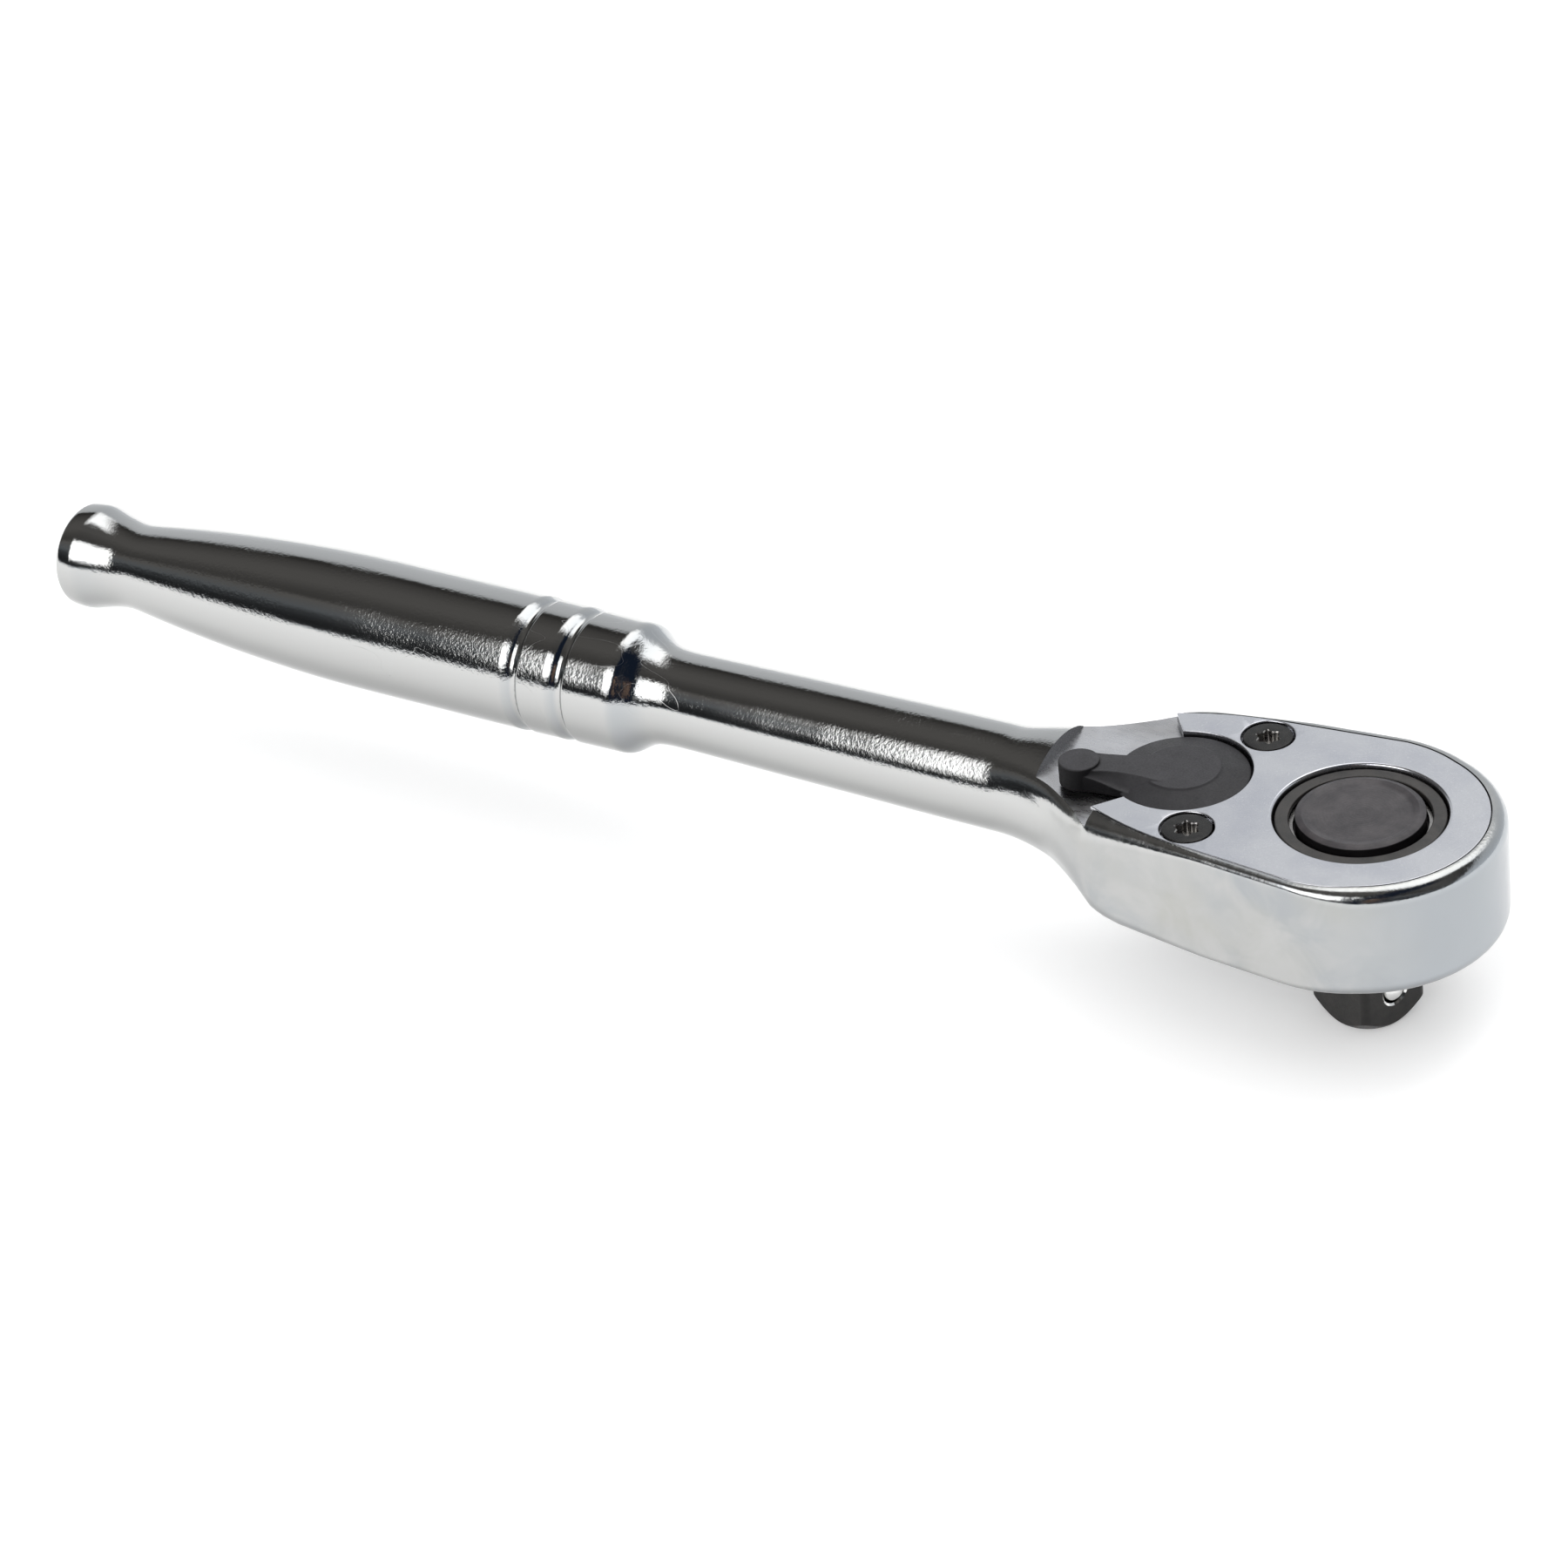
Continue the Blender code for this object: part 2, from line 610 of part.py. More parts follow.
def make_drive_gear(axis):
    gear = slab("drive_gear", gear_outline(), CAVITY_FLOOR_Z + GAP, GEAR_TOP_Z, PARTS)
    boolean(gear, 'UNION',
            cylinder("gear_hub", HUB_R, GEAR_TOP_Z - 2.0, HEAD_TOP - 0.5, sides=48),
            cylinder("gear_journal", JOURNAL_R, HEAD_BOTTOM - 0.3, CAVITY_FLOOR_Z + 2.0, sides=32),
            make_square())
    well = [(0.0, HEAD_TOP + 1.0), (BUTTON_WELL_R, HEAD_TOP + 1.0), (BUTTON_WELL_R, 26.3), (8.85, 26.3),
            (8.85, 25.2), (BUTTON_WELL_R, 25.2), (BUTTON_WELL_R, BUTTON_WELL_Z), (0.0, BUTTON_WELL_Z)]
    ball_hole = cylinder("ball_hole", BALL_R + 0.2, 0.0, 8.0, sides=24)
    ball_hole.rotation_euler = (0.0, math.pi / 2, 0.0)
    ball_hole.location = (4.0 * MM, 0.0, BALL_Z * MM)
    boolean(gear, 'DIFFERENCE',
            turned("button_well", well, collection=CUTTERS, steps=40),
            cylinder("release_bore", PIN_BORE_R, 1.6, BUTTON_WELL_Z + 1.0, sides=24),
            ball_hole)
    finish_part(apply_modifiers(gear), "black_oxide")
    gear.parent = axis
    return gear


def make_release_button(axis):
    top = HEAD_TOP + 0.2
    profile = [(0.0, top - 0.25), (5.6, top - 0.2), (6.7, top), (7.2, top - 0.05), (BUTTON_R, top - 0.4),
               (BUTTON_R, 24.9), (8.0, 24.9), (8.0, 23.4), (6.4, 23.4), (6.4, 26.2), (2.6, 26.2),
               (2.6, 24.2), (1.5, 24.2), (1.5, 26.2), (0.0, 26.2)]
    button = turned("release_button", profile, steps=40)
    finish_part(apply_modifiers(button), "black_oxide")
    button.parent = axis
    return button


def make_release_pin(axis):
    """Thin shank with a cone that lets the ball in as the pin goes down."""
    profile = [(0.0, 25.9), (1.2, 25.9), (1.2, BALL_Z + BUTTON_TRAVEL), (2.0, BALL_Z),
               (2.0, BALL_Z - 0.9), (0.0, BALL_Z - 0.9)]
    pin = turned("release_pin", profile, steps=24)
    finish_part(apply_modifiers(pin), "tool_steel")
    pin.parent = axis
    return pin


def make_detent_ball(axis):
    shape = bmesh.new()
    bmesh.ops.create_uvsphere(shape, u_segments=20, v_segments=12, radius=BALL_R * MM)
    ball = add_object("detent_ball", mesh_from_bmesh("detent_ball", shape), PARTS)
    finish_part(ball, "bearing_steel")
    ball.parent = axis
    ball.location = (BALL_CENTRE_R * MM, 0.0, BALL_Z * MM)
    return ball


def make_retaining_ring(axis):
    """Split ring in the hub's groove, above the button's flange."""
    profile = [(7.8, 26.0), (8.55, 26.0), (8.55, 25.5), (7.8, 25.5)]
    ring = turned("button_retaining_ring", profile, steps=40)
    boolean(ring, 'DIFFERENCE', box("ring_split", (-10.0, -6.0), (-0.6, 0.6), (25.0, 26.5)))
    finish_part(apply_modifiers(ring), "spring_steel")
    ring.parent = axis
    return ring


def make_button_spring(axis):
    spring = coil("button_spring", 4.6, 0.35, BUTTON_WELL_Z + GAP, 26.2 - GAP, 4)
    finish_part(spring, "spring_steel")
    spring.parent = axis
    return spring


def make_friction_ring():
    """Drag washer between the toothed disc and the cover plate."""
    profile = [(HUB_R + 0.4, 25.5), (11.4, 25.5), (11.4, GEAR_TOP_Z + GAP), (HUB_R + 0.4, GEAR_TOP_Z + GAP)]
    ring = turned("friction_ring", profile, steps=40)
    return finish_part(apply_modifiers(ring), "spring_steel")


def main():
    make_handle_body()
    make_cover_plate()
    make_cover_screw("near", -1.0)
    make_cover_screw("far", 1.0)
    lever_axis = empty("lever_axis", (LEVER_X, 0.0, 0.0), LEVER_SWING)
    make_reversing_lever(lever_axis)
    make_pawl_plunger(lever_axis)
    make_plunger_spring(lever_axis)
    make_pawl()
    make_pawl_pin()
    drive_axis = empty("drive_axis", (0.0, 0.0, 0.0), SQUARE_TURN)
    make_drive_gear(drive_axis)
    make_friction_ring()
    make_release_button(drive_axis)
    make_release_pin(drive_axis)
    make_button_spring(drive_axis)
    make_retaining_ring(drive_axis)
    make_detent_ball(drive_axis)


main()
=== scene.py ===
import json
import math

import bmesh
import bpy
import numpy as np
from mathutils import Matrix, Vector
from mathutils.bvhtree import BVHTree
from mathutils.interpolate import poly_3d_calc


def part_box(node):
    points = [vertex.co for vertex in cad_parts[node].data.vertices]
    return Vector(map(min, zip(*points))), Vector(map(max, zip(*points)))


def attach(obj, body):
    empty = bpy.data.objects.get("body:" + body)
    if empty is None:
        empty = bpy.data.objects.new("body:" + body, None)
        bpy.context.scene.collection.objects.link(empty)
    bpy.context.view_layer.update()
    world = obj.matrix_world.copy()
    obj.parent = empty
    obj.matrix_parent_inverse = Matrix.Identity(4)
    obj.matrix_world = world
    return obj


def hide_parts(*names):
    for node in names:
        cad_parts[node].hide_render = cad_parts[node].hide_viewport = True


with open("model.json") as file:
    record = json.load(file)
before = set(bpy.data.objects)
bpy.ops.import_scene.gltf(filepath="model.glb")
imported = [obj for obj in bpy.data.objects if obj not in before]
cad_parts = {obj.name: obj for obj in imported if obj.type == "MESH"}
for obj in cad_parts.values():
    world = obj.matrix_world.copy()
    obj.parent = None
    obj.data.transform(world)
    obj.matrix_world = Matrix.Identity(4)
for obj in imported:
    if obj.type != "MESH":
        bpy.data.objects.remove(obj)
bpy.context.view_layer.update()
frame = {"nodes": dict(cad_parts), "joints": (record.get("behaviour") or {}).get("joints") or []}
mm = 0.001

# places that every piece shares, read from the CAD boxes
bodyLow, bodyHigh = [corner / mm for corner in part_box("handle_body")]
plateLow, plateHigh = [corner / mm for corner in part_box("cover_plate")]
axisZ = (bodyLow.z + bodyHigh.z) / 2
headTop = plateHigh.z
halfHead = headTop - axisZ
headBottom = axisZ - halfHead
noseRadius = bodyHigh.x
seatZ = plateLow.z - 0.3
sideTaper = math.radians(5.5)
leverX = next(joint for joint in frame["joints"] if joint["child"] == "lever")["pos_m"][0] / mm
screwPlaces = {}
for side in ("near", "far"):
    low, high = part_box("cover_screw_" + side)
    screwPlaces[side] = ((low.x + high.x) / 2 / mm, (low.y + high.y) / 2 / mm)


# shape helpers

def newPiece(name, mesh):
    piece = bpy.data.objects.new(name, mesh)
    bpy.context.scene.collection.objects.link(piece)
    return piece


def meshFrom(name, points, faces):
    mesh = bpy.data.meshes.new(name)
    mesh.from_pydata([tuple(value * mm for value in point) for point in points], [], faces)
    return mesh


def cleanMesh(mesh, distance=0.000001):
    shape = bmesh.new()
    shape.from_mesh(mesh)
    bmesh.ops.remove_doubles(shape, verts=shape.verts, dist=distance)
    bmesh.ops.recalc_face_normals(shape, faces=shape.faces)
    shape.to_mesh(mesh)
    shape.free()
    return mesh


def filleted(corners, steps=5):
    # corners are (radius, height, fillet); each fillet becomes a short arc
    points = []
    last = len(corners) - 1
    for i, (r, z, fillet) in enumerate(corners):
        here = Vector((r, z))
        if fillet == 0 or i in (0, last):
            points.append(here)
            continue
        before = (Vector(corners[i - 1][:2]) - here).normalized()
        after = (Vector(corners[i + 1][:2]) - here).normalized()
        half = before.angle(after) / 2
        reach = fillet / math.tan(half)
        centre = here + (before + after).normalized() * (fillet / math.sin(half))
        start = here + before * reach - centre
        turn = start.angle_signed(here + after * reach - centre)
        for k in range(steps + 1):
            angle = -turn * k / steps
            c, s = math.cos(angle), math.sin(angle)
            points.append(centre + Vector((start.x * c - start.y * s, start.x * s + start.y * c)))
    return [(p.x, p.y) for p in points]


def turnedMesh(name, profile, steps=96, centre=(0.0, 0.0)):
    points, faces = [], []
    for r, z in profile:
        for k in range(steps):
            angle = 2 * math.pi * k / steps
            points.append((centre[0] + r * math.cos(angle), centre[1] + r * math.sin(angle), z))
    rows = len(profile)
    closed = profile[0][0] > 0.0
    for i in range(rows if closed else rows - 1):
        j = (i + 1) % rows
        for k in range(steps):
            n = (k + 1) % steps
            faces.append((i * steps + k, i * steps + n, j * steps + n, j * steps + k))
    return cleanMesh(meshFrom(name, points, faces))


def prismMesh(name, outline, low, high):
    count = len(outline)
    points = [(x, y, z) for z in (low, high) for x, y in outline]
    faces = [tuple(range(count)), tuple(range(count, 2 * count))]
    faces += [(i, (i + 1) % count, count + (i + 1) % count, count + i) for i in range(count)]
    return cleanMesh(meshFrom(name, points, faces))


def arcPoints(centre, radius, start, end, steps):
    turns = [math.radians(start + (end - start) * i / steps) for i in range(steps + 1)]
    return [(centre[0] + radius * math.cos(t), centre[1] + radius * math.sin(t)) for t in turns]


def ring(centre, radius, steps=96):
    return arcPoints(centre, radius, 0.0, 360.0, steps)[:-1]


def mirrored(half):
    return half + [(x, -y) for x, y in reversed(half) if abs(y) > 0.001]


def insetLoop(loop, distance):
    # moves a closed loop sideways, to its left if distance is positive
    moved = []
    count = len(loop)
    for i in range(count):
        before, here, after = Vector(loop[i - 1]), Vector(loop[i]), Vector(loop[(i + 1) % count])
        a = (here - before).normalized()
        b = (after - here).normalized()
        normal = Vector((-a.y - b.y, a.x + b.x)).normalized()
        stretch = max(normal.dot(Vector((-a.y, a.x))), 0.3)
        moved.append(tuple(here + normal * distance / stretch))
    return moved


def loopArea(loop):
    return sum(a[0] * b[1] - b[0] * a[1] for a, b in zip(loop, loop[1:] + loop[:1])) / 2


def sheetMesh(name, loops, low, high, edges, steps=5):
    # a flat sheet with holes; the first loop is the outside, and each top edge is rounded
    shape = bmesh.new()
    caps = {low: [], high: []}
    for number, (loop, edge) in enumerate(zip(loops, edges)):
        inward = 1 if (loopArea(loop) > 0) == (number == 0) else -1
        levels = [(0.0, low), (0.0, high - edge)]
        for k in range(1, steps + 1):
            turn = math.pi / 2 * k / steps
            levels.append((edge * (1 - math.cos(turn)), high - edge + edge * math.sin(turn)))
        rows = []
        for inset, z in levels:
            moved = insetLoop(loop, inward * inset)
            rows.append([shape.verts.new((x * mm, y * mm, z * mm)) for x, y in moved])
        for before, after in zip(rows, rows[1:]):
            for i in range(len(before)):
                j = (i + 1) % len(before)
                face = shape.faces.new((before[i], before[j], after[j], after[i]))
                face.material_index = 2 if number == 0 else 1
        for z, row in ((low, rows[0]), (high, rows[-1])):
            caps[z] += [shape.edges.get((row[i - 1], row[i])) for i in range(len(row))]
    for edges in caps.values():
        bmesh.ops.triangle_fill(shape, edges=edges, use_beauty=True)
    bmesh.ops.recalc_face_normals(shape, faces=shape.faces)
    mesh = bpy.data.meshes.new(name)
    shape.to_mesh(mesh)
    shape.free()
    return mesh


def carve(piece, operation, others, material=None):
    # boolean steps, baked into the mesh; cut faces take the cutter's finish
    for other in others:
        if material:
            other.data.materials.clear()
            other.data.materials.append(material)
        step = piece.modifiers.new(other.name, 'BOOLEAN')
        step.operation = operation
        step.solver = 'EXACT'
        step.material_mode = 'TRANSFER' if material else 'INDEX'
        step.object = other
    bakeModifiers(piece)
    for other in others:
        bpy.data.objects.remove(other, do_unlink=True)
    return piece


def bakeModifiers(piece):
    bpy.context.view_layer.update()
    graph = bpy.context.evaluated_depsgraph_get()
    mesh = bpy.data.meshes.new_from_object(piece.evaluated_get(graph))
    piece.modifiers.clear()
    piece.data = mesh
    mesh.name = piece.name
    return piece


def smoothShade(piece, sharpAngle=40.0):
    piece.data.shade_smooth()
    piece.data.set_sharp_from_angle(angle=math.radians(sharpAngle))
    weights = piece.modifiers.new("even shading", 'WEIGHTED_NORMAL')
    weights.keep_sharp = True
    weights.weight = 80
    return piece


def naturalCurve(knots, values, startSlope=None, endSlope=None):
    # smooth curve through the knots, level with the given end slopes where there are any
    x, y = np.array(knots, float), np.array(values, float)
    n = len(x)
    step, rise = np.diff(x), np.diff(y) / np.diff(x)
    a, b = np.zeros((n, n)), np.zeros(n)
    for i in range(1, n - 1):
        a[i, i - 1:i + 2] = (step[i - 1], 2 * (step[i - 1] + step[i]), step[i])
        b[i] = 6 * (rise[i] - rise[i - 1])
    for end, slope, other, sign in ((0, startSlope, 1, 1), (n - 1, endSlope, n - 2, -1)):
        if slope is None:
            a[end, end] = 1
        else:
            k = 0 if end == 0 else n - 2
            a[end, end], a[end, other] = 2 * step[k], step[k]
            b[end] = 6 * sign * (rise[k] - slope)
    bend = np.linalg.solve(a, b)

    def at(place):
        k = int(np.clip(np.searchsorted(x, place) - 1, 0, n - 2))
        h, t, u = step[k], place - x[k], x[k + 1] - place
        cubic = (bend[k] * u ** 3 + bend[k + 1] * t ** 3) / (6 * h)
        return cubic + (y[k] / h - bend[k] * h / 6) * u + (y[k + 1] / h - bend[k + 1] * h / 6) * t
    return at


# finish helpers

def newFinish(name, colour, metallic, roughness):
    finish = bpy.data.materials.new(name)
    finish.use_nodes = True
    shader = finish.node_tree.nodes["Principled BSDF"]
    shader.inputs["Base Color"].default_value = (*colour, 1.0)
    shader.inputs["Metallic"].default_value = metallic
    shader.inputs["Roughness"].default_value = roughness
    return finish, finish.node_tree, shader


def addNode(tree, kind, settings=None, inputs=None):
    node = tree.nodes.new("ShaderNode" + kind)
    for key, value in (settings or {}).items():
        setattr(node, key, value)
    for key, value in (inputs or {}).items():
        if isinstance(value, bpy.types.NodeSocket):
            tree.links.new(value, node.inputs[key])
        else:
            node.inputs[key].default_value = value
    return node


def surfacePlace(tree, stretch=(1.0, 1.0, 1.0), turn=(0.0, 0.0, 0.0)):
    place = addNode(tree, "TexCoord").outputs["Object"]
    return addNode(tree, "Mapping", inputs={"Vector": place, "Scale": stretch, "Rotation": turn}).outputs[0]


def facing(tree, axis="Z"):
    normal = addNode(tree, "TexCoord").outputs["Normal"]
    return addNode(tree, "SeparateXYZ", inputs={"Vector": normal}).outputs[axis]


def noise(tree, place, scale, detail=2.0, roughness=0.5, distortion=0.0):
    node = addNode(tree, "TexNoise", inputs={"Vector": place, "Scale": scale, "Detail": detail,
                                             "Roughness": roughness, "Distortion": distortion})
    return node.outputs["Fac"]


def remap(tree, value, fromLow, fromHigh, toLow=0.0, toHigh=1.0):
    node = addNode(tree, "MapRange", inputs={"Value": value, "From Min": fromLow, "From Max": fromHigh,
                                             "To Min": toLow, "To Max": toHigh})
    return node.outputs["Result"]


def maths(tree, operation, a, b=0.0):
    return addNode(tree, "Math", {"operation": operation}, {0: a, 1: b}).outputs[0]


def blendColour(tree, factor, first, second):
    node = addNode(tree, "Mix", {"data_type": 'RGBA'}, {0: factor})
    for key, value in ((6, first), (7, second)):
        if isinstance(value, bpy.types.NodeSocket):
            tree.links.new(value, node.inputs[key])
        else:
            node.inputs[key].default_value = (*value, 1.0)
    return node.outputs[2]


def bump(tree, height, depth, under=None):
    inputs = {"Height": height, "Distance": depth, "Strength": 1.0}
    if under is not None:
        inputs["Normal"] = under
    return addNode(tree, "Bump", inputs=inputs).outputs[0]


def hairlines(tree, place, scale, width):
    # thin wandering lines where a stretched noise crosses its middle value
    field = noise(tree, place, scale, 1.0, 0.4, 0.3)
    off = maths(tree, 'ABSOLUTE', maths(tree, 'SUBTRACT', field, 0.5))
    return remap(tree, off, 0.0, width, 1.0, 0.0)


# the nose colour is painted shade for faces turned towards +X, and the shade-below value sets how dark the
# painted shade on undersides gets
chromeLook = {"colour": (0.53, 0.533, 0.527), "warm": (0.475, 0.475, 0.45), "cool": (0.41, 0.43, 0.45),
              "nose": (0.40, 0.425, 0.45),
              "paintedShadeBelow": 0.64, "roughness": 0.05, "smudges": 0.05, "grainDepth": 0.000028,
              "waveDepth": 0.000006, "scratchDepth": 0.000003, "headMottle": 0.000006}


def makeChrome():
    look = chromeLook
    finish, tree, shader = newFinish("polishedChrome", look["colour"], 1.0, look["roughness"])
    place = surfacePlace(tree)
    pitted = remap(tree, noise(tree, place, 90.0, 2.0), 0.38, 0.62, 0.25, 1.0)
    grain = maths(tree, 'MULTIPLY', noise(tree, place, 2300.0, 3.0, 0.6), pitted)
    wave = noise(tree, place, 140.0, 1.0)
    brushed = noise(tree, surfacePlace(tree, (1.0, 1.0, 0.22), (0.0, 0.35, 0.2)), 900.0, 3.0, 0.6, 0.6)
    along = addNode(tree, "SeparateXYZ", inputs={"Vector": place}).outputs["X"]
    onHead = remap(tree, along, -0.042, -0.028)
    fewScratches = remap(tree, noise(tree, place, 55.0), 0.52, 0.62)
    lines = hairlines(tree, surfacePlace(tree, (0.35, 1.0, 1.0), (0.2, 0.3, 0.5)), 170.0, 0.0018)
    scratches = maths(tree, 'MULTIPLY', lines, fewScratches)
    normal = bump(tree, wave, look["waveDepth"])
    normal = bump(tree, grain, look["grainDepth"], normal)
    normal = bump(tree, maths(tree, 'MULTIPLY', brushed, onHead), look["headMottle"], normal)
    normal = bump(tree, maths(tree, 'SUBTRACT', 1.0, scratches), look["scratchDepth"], normal)
    tree.links.new(normal, shader.inputs["Normal"])
    smudge = remap(tree, noise(tree, place, 75.0, 3.0), 0.4, 0.75, 0.0, look["smudges"])
    worn = maths(tree, 'MULTIPLY', onHead, remap(tree, brushed, 0.35, 0.7, 0.04, 0.16))
    rough = maths(tree, 'ADD', maths(tree, 'ADD', smudge, worn), look["roughness"])
    rough = maths(tree, 'ADD', rough, maths(tree, 'MULTIPLY', scratches, 0.25))
    tree.links.new(rough, shader.inputs["Roughness"])
    cloud = remap(tree, noise(tree, place, 160.0, 3.0, 0.6, 0.5), 0.35, 0.65)
    tint = remap(tree, noise(tree, place, 70.0, 2.0), 0.4, 0.6)
    warmOrCool = blendColour(tree, tint, look["warm"], look["cool"])
    headTone = blendColour(tree, maths(tree, 'MULTIPLY', cloud, 0.8), look["colour"], warmOrCool)
    tone = blendColour(tree, onHead, look["colour"], headTone)
    # painted shade: faces turned towards +X, round the nose, are blended to the darker, bluer nose colour
    paintedNoseShade = remap(tree, facing(tree, "X"), 0.1, 0.8, 0.0, 0.9)
    tone = blendColour(tree, paintedNoseShade, tone, look["nose"])
    # painted shade: undersides are darkened towards black, standing in for the shaded ground close by that
    # they mirror
    under = remap(tree, facing(tree), 0.27, -0.5)
    shade = maths(tree, 'MULTIPLY', under, 1.0 - look["paintedShadeBelow"])
    tree.links.new(blendColour(tree, shade, tone, (0.0, 0.0, 0.0)), shader.inputs["Base Color"])
    return finish


# the wall colour is painted shade for the upright milled faces
milledLook = {"colour": (0.64, 0.64, 0.66), "dull": (0.46, 0.455, 0.46), "wall": (0.17, 0.17, 0.175),
              "roughness": 0.26, "depth": 0.0000010}


def makeMilled():
    look = milledLook
    finish, tree, shader = newFinish("milledSteel", look["colour"], 1.0, look["roughness"])
    place = surfacePlace(tree)
    cutterMarks = noise(tree, surfacePlace(tree, (0.25, 1.0, 1.0), (0.0, 0.0, 0.7)), 1500.0, 3.0, 0.6)
    stain = remap(tree, noise(tree, place, 150.0, 2.0, 0.5), 0.4, 0.75)
    floorTone = blendColour(tree, stain, look["colour"], look["dull"])
    # painted shade: faces that do not face up, such as the notch walls, are blended to the dark wall colour
    flat = remap(tree, facing(tree), 0.3, 0.8)
    tree.links.new(blendColour(tree, flat, look["wall"], floorTone), shader.inputs["Base Color"])
    tree.links.new(remap(tree, cutterMarks, 0.3, 0.7, 0.2, 0.36), shader.inputs["Roughness"])
    tree.links.new(bump(tree, cutterMarks, look["depth"]), shader.inputs["Normal"])
    return finish


satinLook = {"colour": (0.69, 0.695, 0.725), "cool": (0.60, 0.61, 0.655), "roughness": 0.24,
             "depth": 0.0000003}


def makeSatin():
    look = satinLook
    finish, tree, shader = newFinish("satinChrome", look["colour"], 1.0, look["roughness"])
    place = surfacePlace(tree)
    fine = noise(tree, place, 5200.0, 3.0, 0.65)
    cloud = remap(tree, noise(tree, place, 130.0, 2.0), 0.4, 0.7)
    tree.links.new(blendColour(tree, cloud, look["colour"], look["cool"]), shader.inputs["Base Color"])
    tree.links.new(remap(tree, fine, 0.3, 0.7, 0.20, 0.28), shader.inputs["Roughness"])
    tree.links.new(bump(tree, fine, look["depth"]), shader.inputs["Normal"])
    return finish


def makeBlack(name, look):
    # dark finishes share grain, lighter worn patches and, where asked, turned rings and painted shade that
    # darkens their upright and tilted faces
    finish, tree, shader = newFinish(name, look["colour"], look["metallic"], look["roughness"])
    place = surfacePlace(tree)
    grain = noise(tree, place, look["grainScale"], 3.0, 0.6)
    patch = remap(tree, noise(tree, place, look["patchScale"], 3.0, 0.6), 0.35, 0.7)
    tone = blendColour(tree, patch, look["colour"], look["worn"])
    if look.get("sides"):
        # painted shade: upright faces and slightly tilted faces are darkened towards black, and upright faces
        # also get less specular
        up = facing(tree)
        wall = maths(tree, 'MULTIPLY', remap(tree, up, 0.95, 0.4), 1.0 - look["sides"])
        slope = maths(tree, 'MULTIPLY', remap(tree, up, 0.997, 0.96), look["paintedSlopeShade"])
        tone = blendColour(tree, maths(tree, 'MAXIMUM', wall, slope), tone, (0.0, 0.0, 0.0))
        facingUp = remap(tree, up, 0.1, 0.85, look["sides"], 1.0)
        gloss = maths(tree, 'MULTIPLY', facingUp, look.get("gloss", 0.5))
        tree.links.new(gloss, shader.inputs["Specular IOR Level"])
    tree.links.new(tone, shader.inputs["Base Color"])
    spread = look["roughness"] * 0.2
    rough = remap(tree, grain, 0.3, 0.7, look["roughness"] - spread, look["roughness"] + spread)
    tree.links.new(rough, shader.inputs["Roughness"])
    normal = bump(tree, grain, look["grainDepth"])
    if look.get("ringDepth"):
        flat = addNode(tree, "VectorMath", {"operation": 'MULTIPLY'},
                       {0: place, 1: (1.0, 1.0, 0.0)}).outputs[0]
        reach = addNode(tree, "VectorMath", {"operation": 'LENGTH'}, {0: flat}).outputs["Value"]
        wobble = maths(tree, 'MULTIPLY', noise(tree, place, 500.0), 0.0002)
        phase = maths(tree, 'MULTIPLY', maths(tree, 'ADD', reach, wobble), look["ringRate"])
        rings = maths(tree, 'SINE', phase)
        normal = bump(tree, rings, look["ringDepth"], normal)
    tree.links.new(normal, shader.inputs["Normal"])
    return finish


# in these looks, the sides value and the slope value set how much painted shade darkens faces that do not
# face straight up
leverLook = {"colour": (0.026, 0.025, 0.028), "worn": (0.036, 0.035, 0.039),
             "metallic": 0.0, "roughness": 0.56,
             "grainScale": 5000.0, "grainDepth": 0.000012, "patchScale": 400.0, "sides": 0.2, "paintedSlopeShade": 0.42}
driveLook = {"colour": (0.024, 0.023, 0.022), "worn": (0.042, 0.038, 0.035),
             "metallic": 0.0, "roughness": 0.42,
             "grainScale": 4500.0, "grainDepth": 0.000006, "patchScale": 500.0, "sides": 0.6, "paintedSlopeShade": 0.1}
buttonLook = {"colour": (0.028, 0.025, 0.028), "worn": (0.058, 0.052, 0.055),
              "metallic": 0.0, "roughness": 0.42,
              "grainScale": 4500.0, "grainDepth": 0.000006, "patchScale": 420.0, "ringDepth": 0.000002,
              "ringRate": 15000.0, "sides": 0.15, "paintedSlopeShade": 0.0}
screwLook = {"colour": (0.006, 0.006, 0.006), "worn": (0.018, 0.017, 0.016),
             "metallic": 0.0, "roughness": 0.26,
             "grainScale": 5000.0, "grainDepth": 0.000003, "patchScale": 900.0, "sides": 0.5, "paintedSlopeShade": 0.0,
             "gloss": 0.3}
innerLook = {"colour": (0.34, 0.33, 0.32), "worn": (0.44, 0.43, 0.41), "metallic": 1.0, "roughness": 0.32,
             "grainScale": 4000.0, "grainDepth": 0.000002, "patchScale": 300.0}
springLook = {"colour": (0.26, 0.25, 0.25), "worn": (0.40, 0.39, 0.37), "metallic": 1.0, "roughness": 0.28,
              "grainScale": 6000.0, "grainDepth": 0.000001, "patchScale": 600.0}
ballLook = {"colour": (0.78, 0.78, 0.77), "worn": (0.68, 0.68, 0.67), "metallic": 1.0, "roughness": 0.08,
            "grainScale": 3000.0, "grainDepth": 0.0000004, "patchScale": 700.0}

finishes = {
    "chrome": makeChrome(), "milled": makeMilled(), "satin": makeSatin(),
    "lever": makeBlack("leverBlack", leverLook), "drive": makeBlack("driveBlack", driveLook),
    "button": makeBlack("buttonBlack", buttonLook), "screw": makeBlack("screwBlack", screwLook),
    "inner": makeBlack("innerSteel", innerLook), "spring": makeBlack("springWire", springLook),
    "ball": makeBlack("ballSteel", ballLook),
}


def dress(piece, *names):
    piece.data.materials.clear()
    for name in names:
        piece.data.materials.append(finishes[name])
    return piece


def placePiece(piece, body, slot, *nodes):
    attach(piece, body)
    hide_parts(*nodes)
    print("placed", piece.name, len(piece.data.polygons), "faces")
    return piece


print("finishes ready")


# head and handle, one forging

